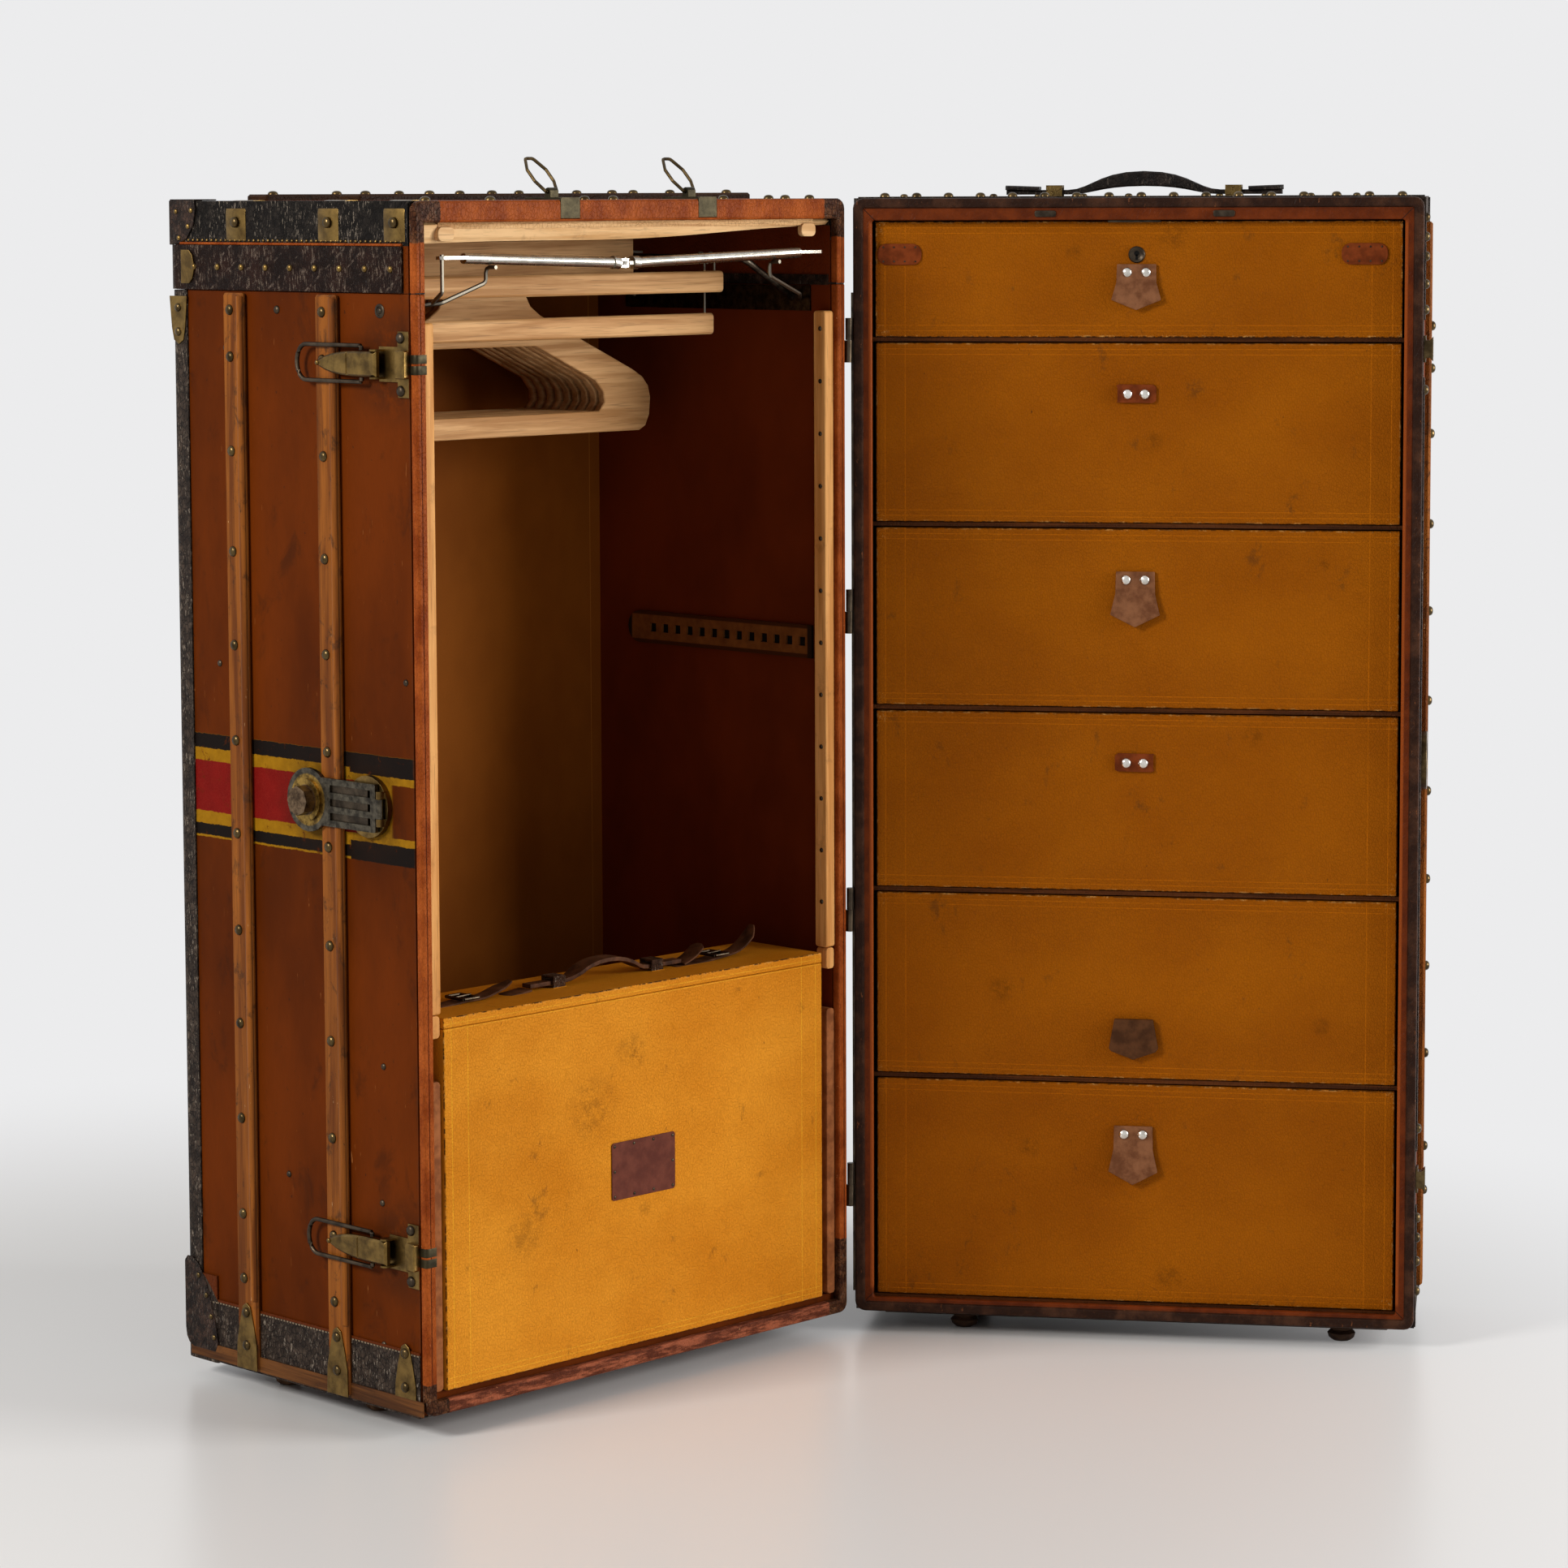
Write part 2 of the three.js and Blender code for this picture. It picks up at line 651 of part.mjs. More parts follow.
// Low and high of each drawer, the first at the top
function drawerRows() {
  const rows = [];
  let low = CHEST_FLOOR + RUN;
  for (const share of [...DRAWER_HEIGHT_SHARES].reverse()) {
    const high = low + share * STACK_H;
    rows.unshift({ low, high });
    low = high + DRAWER_HEAD + DUST_BOARD + RUN;
  }
  return rows;
}

const ROWS = drawerRows();

function chestCarcass() {
  const inner = block(
    CHEST_X0 + WALL, CHEST_X1 - WALL, -OVERRUN, CHEST_D - BACK, CHEST_FLOOR, TRUNK_H - WALL,
  );
  const [boardX0, boardX1] = [CHEST_X0 + WALL / 2, CHEST_X1 - WALL / 2];
  const boards = ROWS.slice(0, -1).map(({ low }) => block(
    boardX0, boardX1, DRAWER_Y0 + RUN, CHEST_D - BACK / 2, low - RUN - DUST_BOARD, low - RUN,
  ));
  const slatY = CHEST_D / 2;
  const slatOutline = roundedRect(
    slatY - SLAT_W / 2, slatY + SLAT_W / 2, EDGE_W, TRUNK_H - EDGE_W, SLAT_CORNER,
  );
  const sideSlat = sidePlate(slatOutline, CHEST_X1 - WALL / 2, CHEST_X1 + SLAT_T, SLAT_EDGE);
  const pocket = pin(
    at(CHEST_X1 - STRIKE_POCKET, STRIKE_Y, LOCK_Z), at(CHEST_X1 + OVERRUN, STRIKE_Y, LOCK_Z),
    STUD_R + RUN, 20,
  );
  const top = HANDLE_PAD_LIFT + HANDLE_PAD_T;
  return joined([
    shell(CHEST_X0, CHEST_X1, CHEST_D, 0, TRUNK_H).subtract(inner).subtract(pocket),
    ...boards,
    sideSlat,
    ...backSlats(CHEST_X0, CHEST_X1, CHEST_D, EDGE_W, TRUNK_H - EDGE_W),
    ...staples(CHEST_MID, HANDLE_Y, TRUNK_H, HANDLE_L, HANDLE_NECK_W, top, WALL / 2),
  ]);
}

function chestRing() {
  const bead = roundedRect(CHEST_X0, CHEST_X1, 0, TRUNK_H, CORNER_R);
  bead.holes.push(roundedRect(
    CHEST_X0 + RING_BEAD, CHEST_X1 - RING_BEAD, RING_BEAD, TRUNK_H - RING_BEAD, RIM_ROUND,
  ));
  const overlap = RIM_ROUND + SLAT_EDGE;
  const inset = RING_BEAD - overlap;
  const rim = roundedRect(CHEST_X0 + inset, CHEST_X1 - inset, inset, TRUNK_H - inset, RIM_ROUND);
  rim.holes.push(roundedRect(OPEN_X0, OPEN_X1, OPEN_Z0, OPEN_Z1, RIM_ROUND));
  return frontPlate(bead, FRONT, RIM_D, RIM_ROUND).add(frontPlate(rim, RING_STEP, RIM_D, SLAT_EDGE / 2));
}

function drawer({ low, high }, keyed) {
  const outer = block(DRAWER_X0, DRAWER_X1, DRAWER_Y0, DRAWER_Y1, low, high);
  const inner = block(
    DRAWER_X0 + DRAWER_SIDE_T, DRAWER_X1 - DRAWER_SIDE_T,
    DRAWER_Y0 + DRAWER_FRONT_T, DRAWER_Y1 - DRAWER_SIDE_T, low + DRAWER_FLOOR_T, high + OVERRUN,
  );
  if (!keyed) return outer.subtract(inner);
  const z = high - KEYHOLE_DROP;
  const [y0, y1] = [DRAWER_Y0 - OVERRUN, DRAWER_Y0 + DRAWER_FRONT_T + OVERRUN];
  const round = pin(at(CHEST_MID, y0, z), at(CHEST_MID, y1, z), KEYHOLE_R);
  const tail = block(CHEST_MID - KEYHOLE_R / 2, CHEST_MID + KEYHOLE_R / 2, y0, y1, z - KEYHOLE_TAIL, z);
  return cut(outer, [inner, round, tail]);
}

// A riveted tab: narrow at the rivets, wider below, with a shallow point; the reversed one is rounded
function pull(row, heightShare, drop, reversed) {
  const height = heightShare * PULL_H;
  const half = PULL_W / 2;
  const edge = PULL_OUTLINE_SHARES.map(([u, v]) => [u * half, -v * height]);
  const outline = reversed
    ? roundedRect(-half, half, -height, 0, half / 3)
    : polygon([...edge.map(([u, v]) => [-u, v]), [0, -height], ...edge.reverse()]);
  const tilt = THREE.MathUtils.degToRad(PULL_TILT_DEG);
  const tab = extruded(outline, PULL_T, 0, 4);
  const up = at(0, Math.sin(tilt), Math.cos(tilt));
  const y = DRAWER_Y0 - FIT - PULL_T * Math.cos(tilt);
  return laid(tab, AXIS_X, up, at(CHEST_MID, y + PULL_T, row.high - drop));
}

// Hook for a latch bail: base plate, neck and a lip that reaches over the bail
function latchCatch(z) {
  const y0 = LATCH_EDGE_GAP + FIT;
  const bowY = BAIL_L - BAIL_PIVOT_L - LATCH_PIVOT_Y;
  const y1 = bowY - BAIL_R - CATCH_SLACK;
  const x0 = CHEST_X1 + FIT;
  const profile = polygon([
    [x0, z - CATCH_W], [x0 + CATCH_BASE_T, z - CATCH_W], [x0 + CATCH_BASE_T, z - CATCH_NECK_H / 2 - FIT],
    [x0 + CATCH_BASE_T + FIT, z - CATCH_NECK_H / 2], [x0 + CATCH_T - CATCH_LIP_T, z - CATCH_NECK_H / 2],
    [x0 + CATCH_T, z - CATCH_LIP_H / 2], [x0 + CATCH_T, z + CATCH_LIP_H / 2],
    [x0 + CATCH_T - CATCH_LIP_T, z + CATCH_NECK_H / 2], [x0 + CATCH_BASE_T + FIT, z + CATCH_NECK_H / 2],
    [x0 + CATCH_BASE_T, z + CATCH_NECK_H / 2 + FIT], [x0 + CATCH_BASE_T, z + CATCH_W], [x0, z + CATCH_W],
  ]);
  const lip = block(
    x0 + CATCH_T - CATCH_LIP_T, x0 + CATCH_T, y1 - FIT, y1 + CATCH_LIP_REACH,
    z - CATCH_NECK_H / 2, z + CATCH_NECK_H / 2,
  );
  return frontPlate(profile, y0, y1).add(lip);
}

function lockStrike() {
  const x0 = CHEST_X1 + FIT;
  const top = LOCK_HINGE_H - HASP_T / 2 - 2 * FIT;
  const disc = pin(at(x0, STRIKE_Y, LOCK_Z), at(CHEST_X1 + top, STRIKE_Y, LOCK_Z), LOCK_BASE_R, 24);
  const well = pin(
    at(CHEST_X1 + top - COLLAR_T - FIT, STRIKE_Y, LOCK_Z), at(CHEST_X1 + top + OVERRUN, STRIKE_Y, LOCK_Z),
    COLLAR_R + RUN, 24,
  );
  const hole = pin(
    at(x0 - OVERRUN, STRIKE_Y, LOCK_Z), at(CHEST_X1 + top + OVERRUN, STRIKE_Y, LOCK_Z), STUD_R + RUN, 20,
  );
  return cut(disc, [well, hole]);
}

function buildChest(parent) {
  const half = new THREE.Group();
  half.position.z = FOOT_H;
  parent.add(half);
  piece(half, 'drawer_carcass', CANVAS, chestCarcass());
  piece(half, 'drawer_binding', DARK_LEATHER, chestRing());
  const glides = CHEST_GLIDE_SHARES.map((share) => CHEST_X0 + share * TRUNK_W);
  const [front, rear] = CHEST_BATTEN_SHARES.map((share) => share * CHEST_D);
  const [b0, b1] = [CHEST_X0 + EDGE_W, CHEST_X1 - EDGE_W];
  piece(half, 'drawer_batten_front', SLAT_WOOD, batten(b0, b1, front, glides));
  piece(half, 'drawer_batten_rear', SLAT_WOOD, batten(b0, b1, rear, glides));
  ROWS.forEach((row, i) => piece(half, `drawer_${i + 1}`, DRAWER_CLOTH, drawer(row, i === 0)));
  for (const [number, share] of Object.entries(PULL_HEIGHT_SHARES)) {
    const reversed = number === '5';
    const drop = reversed ? PULL_DROP_REVERSED : PULL_DROP;
    piece(half, `pull_${number}`, TAN_LEATHER, pull(ROWS[number - 1], share, drop, reversed));
  }
  piece(half, 'handle_top', DARK_LEATHER, handle({
    x: CHEST_MID, y: HANDLE_Y, z: TRUNK_H, length: HANDLE_L, width: HANDLE_W, neck: HANDLE_NECK_W,
    lift: HANDLE_PAD_LIFT, thickness: HANDLE_PAD_T, gap: HANDLE_GAP, rise: HANDLE_RISE,
    round: HANDLE_PAD_T / 3,
  }));
  const leafTop = PART_Z - LATCH_EDGE_GAP;
  piece(half, 'hinge_strip_drawers', IRON, hingeLeaf(1, HINGE_END_GAP, leafTop, false));
  piece(half, 'catch_upper', BRASS, latchCatch(LATCH_UPPER_Z));
  piece(half, 'catch_lower', BRASS, latchCatch(LATCH_LOWER_Z));
  piece(half, 'lock_strike', BRASS, lockStrike());
}

// Hanging half

function wardrobeCarcass() {
  const z1 = PART_Z - FIT;
  const inner = block(
    LOCK_IN, HINGE_IN, -OVERRUN, WARDROBE_D - BACK, WARDROBE_FLOOR, z1 + OVERRUN,
  );
  return joined([
    shell(LOCK_X, HINGE_X, WARDROBE_D, 0, z1).subtract(inner),
    ...backSlats(LOCK_X, HINGE_X, WARDROBE_D, BASE_BAND_H + EDGE_W, PART_Z - 2 * LID_LEAF_H),
    lidHingeLeaf(PART_Z - LID_LEAF_H, z1 - FIT, WARDROBE_D - BACK / 2, WARDROBE_D + LID_LEAF_T, [0, 2, 4]),
  ]);
}

function wardrobeRim() {
  const top = PART_Z - FIT;
  const shape = new THREE.Shape();
  shape.moveTo(LOCK_X + CORNER_R, 0);
  shape.lineTo(HINGE_X - CORNER_R, 0);
  shape.absarc(HINGE_X - CORNER_R, CORNER_R, CORNER_R, -Math.PI / 2, 0);
  shape.lineTo(HINGE_X, top);
  shape.lineTo(HINGE_IN, top);
  shape.lineTo(HINGE_IN, RIM_SILL);
  shape.lineTo(LOCK_IN, RIM_SILL);
  shape.lineTo(LOCK_IN, top);
  shape.lineTo(LOCK_X, top);
  shape.lineTo(LOCK_X, CORNER_R);
  shape.absarc(LOCK_X + CORNER_R, CORNER_R, CORNER_R, Math.PI, 1.5 * Math.PI);
  return frontPlate(shape, FRONT, RIM_D, RIM_ROUND);
}

// Leather edges down the rear corners and round the base, with thicker caps on the bottom corners
function wardrobeBinding() {
  const hingeStart = 2 * HINGE_KNUCKLE_R + HINGE_LEAF_W + FIT;
  const far = 4 * CAP_T;
  const top = PART_Z - FIT;
  const sides = layer(LOCK_X, HINGE_X, SHELL_FRONT, WARDROBE_D, 0, top, EDGE_T);
  const edges = cut(sides, [
    block(LOCK_X - far, HINGE_X + far, -OVERRUN, WARDROBE_D - EDGE_W, BASE_BAND_H, top + OVERRUN),
    block(LOCK_X + EDGE_W, HINGE_X - EDGE_W, WARDROBE_D - BACK, WARDROBE_D + far, BASE_BAND_H, top + OVERRUN),
    block(LOCK_X + EDGE_W, HINGE_X - EDGE_W, -OVERRUN, WARDROBE_D - EDGE_W, -far, far),
    block(HINGE_X - EDGE_W - OVERRUN, HINGE_X + far, -OVERRUN, hingeStart, -far, BASE_BAND_H + OVERRUN),
  ]);
  const corners = layer(LOCK_X, HINGE_X, WARDROBE_D - CAP_W, WARDROBE_D, 0, CAP_H, CAP_T);
  const caps = corners.subtract(
    block(LOCK_X + CAP_W, HINGE_X - CAP_W, -OVERRUN, WARDROBE_D + far, -far, CAP_H + OVERRUN),
  ).subtract(
    block(LOCK_X + EDGE_W, HINGE_X - EDGE_W, -OVERRUN, WARDROBE_D - EDGE_W, -far, far),
  );
  return edges.add(caps);
}

function lockSlat(y) {
  const outline = roundedRect(y - SLAT_W / 2, y + SLAT_W / 2, SLAT_EDGE, PART_Z - SLAT_EDGE, SLAT_CORNER);
  const slat = sidePlate(outline, LOCK_X - SLAT_T, LOCK_X - FIT, SLAT_EDGE);
  const band = block(
    LOCK_X - EDGE_T - 2 * FIT, LOCK_X + OVERRUN, y - SLAT_W, y + SLAT_W, -OVERRUN, BASE_BAND_H + FIT,
  );
  return slat.subtract(band);
}

function sideStrip(x0, x1) {
  const outline = roundedRect(
    STRIP_SETBACK, STRIP_SETBACK + STRIP_D, STRIP_LOW, PART_Z - STRIP_TOP_GAP - BAND_H / 2, SLAT_CORNER,
  );
  return sidePlate(outline, x0, x1, SLAT_EDGE / 2);
}

// Iron band on an inner wall with the hanger runner and the hook that carries the clothes rod.
// side is 1 on the hinge wall and -1 on the lock wall.
function runner(side) {
  const wall = side > 0 ? HINGE_IN - FIT : LOCK_IN + FIT;
  const z1 = PART_Z - BAND_TOP_GAP;
  const face = wall - side * BAND_T;
  const band = block(
    Math.min(wall, face), Math.max(wall, face), BAND_FRONT, BAND_FRONT + BAND_L, z1 - BAND_H, z1,
  );
  const root = wall - (side * BAND_T) / 2;
  const low = z1 - BAND_H / 2;
  const x = HANGER_X + side * RUNNER_HALF;
  const bandEnd = BAND_FRONT + BAND_L;
  const rail = wire([
    at(root, BAND_FRONT + BAND_H, low), at(x, RUNNER_FRONT, RUNNER_Z),
    at(x, RUNNER_REAR, RUNNER_Z), at(root, bandEnd - BAND_H / 2, low),
  ], RUNNER_R, RUNNER_BEND, 8, 2);
  const hookX = MID_X + side * HOOK_SPREAD;
  const hookZ = rodHeight(hookX) - ROD_R - HOOK_R - FIT;
  const hook = wire([
    at(root, BAND_FRONT + HOOK_TIP, low), at(wall - side * HOOK_KINK, ROD_Y + HOOK_TIP, low + HOOK_BEND),
    at(hookX, ROD_Y + HOOK_TIP / 2, hookZ - HOOK_TIP), at(hookX, ROD_Y + HOOK_TIP / 2, hookZ),
    at(hookX, ROD_Y - HOOK_TIP / 2, hookZ),
  ], HOOK_R, HOOK_BEND);
  const behind = block(
    Math.min(wall, wall + side * WALL), Math.max(wall, wall + side * WALL), 0, WARDROBE_D, 0, TRUNK_H,
  );
  if (side > 0) return joined([band, rail, hook]).subtract(behind);
  const pivotX = MID_X - ROD_HALF;
  const pivot = wire([
    at(root, BAND_FRONT + HOOK_R, low), at(pivotX, ROD_Y + HOOK_TIP, low + HOOK_BEND),
    at(pivotX, ROD_Y, low + 3 * HOOK_BEND), at(pivotX, ROD_Y, ROD_END_Z + ROD_TONGUE_T),
  ], HOOK_R, HOOK_BEND / 2);
  return joined([band, rail, hook, pivot]).subtract(behind);
}

function sideRail() {
  const y1 = RAIL_FRONT + RAIL_L;
  const mid = RAIL_Z + RAIL_H / 2;
  const shape = new THREE.Shape();
  shape.moveTo(RAIL_FRONT, RAIL_Z);
  shape.lineTo(y1 - RAIL_H / 2, RAIL_Z);
  shape.absarc(y1 - RAIL_H / 2, mid, RAIL_H / 2, -Math.PI / 2, Math.PI / 2);
  shape.lineTo(RAIL_FRONT, RAIL_Z + RAIL_H);
  const pitch = (RAIL_L - RAIL_H) / RAIL_HOLES;
  const [x0, x1] = [HINGE_IN - FIT - RAIL_T, HINGE_IN - FIT];
  const holes = [];
  for (let i = 0; i < RAIL_HOLES; i += 1) {
    const y = RAIL_FRONT + RAIL_HOLE + i * pitch;
    holes.push(block(
      x0 - OVERRUN, x1 + OVERRUN, y, y + RAIL_HOLE, mid - RAIL_HOLE / 2, mid + RAIL_HOLE / 2,
    ));
  }
  return cut(sidePlate(shape, x0, x1, 0, 4), holes);
}

// Draw latch: T-shaped base with lugs and pin, bullet-shaped lever, and a bail hung in the lever

function latchBase(z) {
  const face = LOCK_X - FIT;
  const y0 = LATCH_EDGE_GAP;
  const earEnd = y0 + LATCH_EAR_W;
  const end = y0 + LATCH_PLATE_L;
  const outline = polygon([
    [y0, z - LATCH_EAR_H / 2], [earEnd, z - LATCH_EAR_H / 2], [earEnd + FIT, z - LATCH_STEM_H / 2],
    [end, z - LATCH_STEM_H / 2], [end, z + LATCH_STEM_H / 2], [earEnd + FIT, z + LATCH_STEM_H / 2],
    [earEnd, z + LATCH_EAR_H / 2], [y0, z + LATCH_EAR_H / 2],
  ]);
  const plate = sidePlate(outline, face - LATCH_PLATE_T, face);
  const boxOutline = roundedRect(y0, y0 + LATCH_BOX_W, z - LATCH_BOX_H / 2, z + LATCH_BOX_H / 2, SLAT_EDGE);
  const box = sidePlate(boxOutline, face - LATCH_BOX_T, face - FIT, SLAT_EDGE / 2);
  const lugX = LOCK_X - LATCH_PIVOT_H;
  const lugs = [-1, 1].map((sign) => {
    const z0 = z + sign * (LEVER_W / 2 + FIT);
    const z1 = z0 + sign * LUG_T;
    const [low, high] = [Math.min(z0, z1), Math.max(z0, z1)];
    return pin(at(lugX, LATCH_PIVOT_Y, low), at(lugX, LATCH_PIVOT_Y, high), LUG_R)
      .add(block(lugX, face - FIT, LATCH_PIVOT_Y - LUG_R, LATCH_PIVOT_Y + LUG_R / 2, low, high));
  });
  const reach = LEVER_W / 2 + FIT + LUG_T / 2;
  const axle = pin(at(lugX, LATCH_PIVOT_Y, z - reach), at(lugX, LATCH_PIVOT_Y, z + reach), LATCH_PIN_R);
  return joined([plate, box, ...lugs, axle]);
}

function latchLever(z) {
  const half = LEVER_W / 2;
  const axisX = LOCK_X - LATCH_PIVOT_H;
  const y0 = LATCH_PIVOT_Y;
  const shoulder = y0 + LEVER_SHOULDER_SHARE * LEVER_L;
  const [noseY, noseZ] = [y0 + LEVER_NOSE_SHARES[0] * LEVER_L, LEVER_NOSE_SHARES[1] * half];
  const shape = new THREE.Shape();
  shape.moveTo(y0 - LUG_R, z - half);
  shape.lineTo(shoulder, z - half);
  shape.quadraticCurveTo(noseY, z - noseZ, y0 + LEVER_L, z);
  shape.quadraticCurveTo(noseY, z + noseZ, shoulder, z + half);
  shape.lineTo(y0 - LUG_R, z + half);
  const body = sidePlate(shape, axisX + LEVER_SINK - LEVER_T, axisX + LEVER_SINK, SLAT_EDGE, 5);
  const waistY = y0 + LEVER_WAIST_SHARE * LEVER_L;
  const waist = block(
    axisX + LEVER_SINK - LEVER_T - OVERRUN, axisX + LEVER_SINK - LEVER_T + SLAT_EDGE / 2,
    waistY, waistY + SLAT_EDGE, z - LEVER_W, z + LEVER_W,
  );
  const bore = (y, radius) => pin(at(axisX, y, z - LEVER_W), at(axisX, y, z + LEVER_W), radius);
  return cut(body, [bore(y0, LATCH_PIN_R + FIT), bore(y0 + BAIL_PIVOT_L, BAIL_R + FIT), waist]);
}

function latchBail(z) {
  const x = LOCK_X - LATCH_PIVOT_H;
  const y0 = LATCH_PIVOT_Y + BAIL_PIVOT_L;
  const loop = wire([
    at(x, y0, z - BAIL_HALF_W), at(x, y0 + BAIL_L, z - BAIL_HALF_W),
    at(x, y0 + BAIL_L, z + BAIL_HALF_W), at(x, y0, z + BAIL_HALF_W),
  ], BAIL_R, BAIL_BEND, 8, 4);
  const axle = pin(at(x, y0, z - BAIL_HALF_W - BAIL_R), at(x, y0, z + BAIL_HALF_W + BAIL_R), BAIL_R);
  return loop.add(axle);
}

// Lock: round base with hinge lugs, and a hasp that carries the boss and its stud

function lockBase() {
  const face = LOCK_X - FIT;
  const y = LOCK_HINGE_Y + LOCK_BASE_OFF;
  const disc = pin(at(LOCK_X - LOCK_BASE_T, y, LOCK_Z), at(face, y, LOCK_Z), LOCK_BASE_R, 24);
  const x = LOCK_X - LOCK_HINGE_H;
  const lugs = [-1, 1].map((sign) => {
    const z0 = LOCK_Z + sign * (LOCK_KNUCKLE_L / 2 + FIT);
    const z1 = z0 + sign * LOCK_LUG_L;
    const [low, high] = [Math.min(z0, z1), Math.max(z0, z1)];
    const [y0, y1] = [LOCK_HINGE_Y - LOCK_KNUCKLE_R, LOCK_HINGE_Y + LOCK_KNUCKLE_R];
    return pin(at(x, LOCK_HINGE_Y, low), at(x, LOCK_HINGE_Y, high), LOCK_KNUCKLE_R)
      .add(block(x, face - FIT, y0, y1, low, high));
  });
  const clear = LOCK_KNUCKLE_L / 2 + FIT;
  const relief = block(
    x - LOCK_KNUCKLE_R, x + LOCK_KNUCKLE_R + FIT, LOCK_HINGE_Y - 2 * LOCK_KNUCKLE_R,
    LOCK_HINGE_Y + LOCK_KNUCKLE_R + 2 * FIT, LOCK_Z - clear, LOCK_Z + clear,
  );
  const reach = LOCK_KNUCKLE_L / 2 + LOCK_LUG_L;
  const axle = pin(at(x, LOCK_HINGE_Y, LOCK_Z - reach), at(x, LOCK_HINGE_Y, LOCK_Z + reach), LOCK_PIN_R);
  return joined([disc.subtract(relief), ...lugs, axle]);
}

function lockHasp() {
  const x = LOCK_X - LOCK_HINGE_H;
  const [x0, x1] = [x - HASP_T / 2, x + HASP_T / 2];
  const bossY = LOCK_HINGE_Y + HASP_REACH;
  const plateStart = LOCK_HINGE_Y + LOCK_KNUCKLE_R + 2 * FIT;
  const plateOutline = roundedRect(plateStart, bossY, LOCK_Z - HASP_W / 2, LOCK_Z + HASP_W / 2, SLAT_EDGE);
  const slotEnd = bossY - BOSS_R - SLAT_EDGE;
  const slots = [-1, 0, 1].map((step) => {
    const z = LOCK_Z + step * HASP_SLOT_PITCH;
    return block(
      x0 - OVERRUN, x1 + OVERRUN, plateStart + HASP_SLOT_W, slotEnd, z - HASP_SLOT_W / 2, z + HASP_SLOT_W / 2,
    );
  });
  const half = LOCK_KNUCKLE_L / 2;
  const knuckle = pin(
    at(x, LOCK_HINGE_Y, LOCK_Z - half), at(x, LOCK_HINGE_Y, LOCK_Z + half), LOCK_KNUCKLE_R,
  );
  const neck = block(x0, x1, LOCK_HINGE_Y, plateStart + SLAT_EDGE, LOCK_Z - half, LOCK_Z + half);
  const bore = pin(
    at(x, LOCK_HINGE_Y, LOCK_Z - HASP_W), at(x, LOCK_HINGE_Y, LOCK_Z + HASP_W), LOCK_PIN_R + FIT,
  );
  const boss = pin(at(x0, bossY, LOCK_Z), at(x1, bossY, LOCK_Z), BOSS_R, 24);
  const collar = pin(at(x0 - COLLAR_T, bossY, LOCK_Z), at(x1, bossY, LOCK_Z), COLLAR_R, 20);
  const stud = pin(at(x0 - STUD_H, bossY, LOCK_Z), at(x1, bossY, LOCK_Z), STUD_R, 8);
  const plate = cut(sidePlate(plateOutline, x0, x1), slots);
  return joined([plate, knuckle, neck, boss, collar, stud]).subtract(bore);
}

// Clothes rod in two jointed halves, slightly bowed down at its joint

function rodHeight(x) {
  const span = x > ROD_JOINT_X ? MID_X + ROD_HALF - ROD_JOINT_X : ROD_JOINT_X - (MID_X - ROD_HALF);
  return ROD_JOINT_Z + ((ROD_END_Z - ROD_JOINT_Z) * Math.abs(x - ROD_JOINT_X)) / span;
}

// side is 1 for the half towards the hinges, -1 for the half towards the lock
function rodHalf(side) {
  const endX = MID_X + side * ROD_HALF;
  const spot = (x) => at(x, ROD_Y, rodHeight(x));
  const tubeEnd = endX - side * ROD_TONGUE_L;
  const tubeStart = ROD_JOINT_X + side * ROD_CLEAR;
  const tube = pin(spot(tubeStart), spot(tubeEnd), ROD_R, 12);
  const ferrule = pin(spot(tubeStart), spot(tubeStart + side * FERRULE_L), FERRULE_R, 12);
  const tongueZ = ROD_END_Z - ROD_TONGUE_T / 2;
  const [u0, u1] = [tubeEnd - side * ROD_R, endX + side * ROD_R].sort((a, b) => a - b);
  const outline = roundedRect(u0, u1, ROD_Y - ROD_R, ROD_Y + ROD_R, ROD_ROUND_SHARE * ROD_R);
  const tongue = topPlate(outline, tongueZ, tongueZ + ROD_TONGUE_T);
  const parts = [tube, ferrule, tongue];
  const gap = ROD_TONGUE_T / 2 + FIT;
  const [e0, e1] = [ROD_JOINT_X, tubeStart + side * FIT].sort((a, b) => a - b);
  const earHalf = ROD_EAR_SHARE * ROD_EAR_R;
  const ear = (z0, z1) => pin(at(ROD_JOINT_X, ROD_Y, z0), at(ROD_JOINT_X, ROD_Y, z1), ROD_EAR_R)
    .add(block(e0, e1, ROD_Y - earHalf, ROD_Y + earHalf, z0, z1));
  const pinHole = (radius) => pin(
    at(ROD_JOINT_X, ROD_Y, ROD_JOINT_Z - ROD_R), at(ROD_JOINT_X, ROD_Y, ROD_JOINT_Z + ROD_R), radius,
  );
  if (side > 0) {
    parts.push(ear(ROD_JOINT_Z - ROD_TONGUE_T / 2, ROD_JOINT_Z + ROD_TONGUE_T / 2));
    return joined(parts).subtract(pinHole(ROD_PIN_R + FIT));
  }
  parts.push(ear(ROD_JOINT_Z + gap, ROD_JOINT_Z + gap + ROD_EAR_T));
  parts.push(ear(ROD_JOINT_Z - gap - ROD_EAR_T, ROD_JOINT_Z - gap));
  parts.push(pinHole(ROD_PIN_R));
  const pivotHole = pin(
    at(endX, ROD_Y, ROD_END_Z - ROD_R), at(endX, ROD_Y, ROD_END_Z + ROD_R), HOOK_R + 2 * FIT,
  );
  return joined(parts).subtract(pivotHole);
}

// Hangers: a wooden head on the runners, a neck and a broad shoulder with a long slot

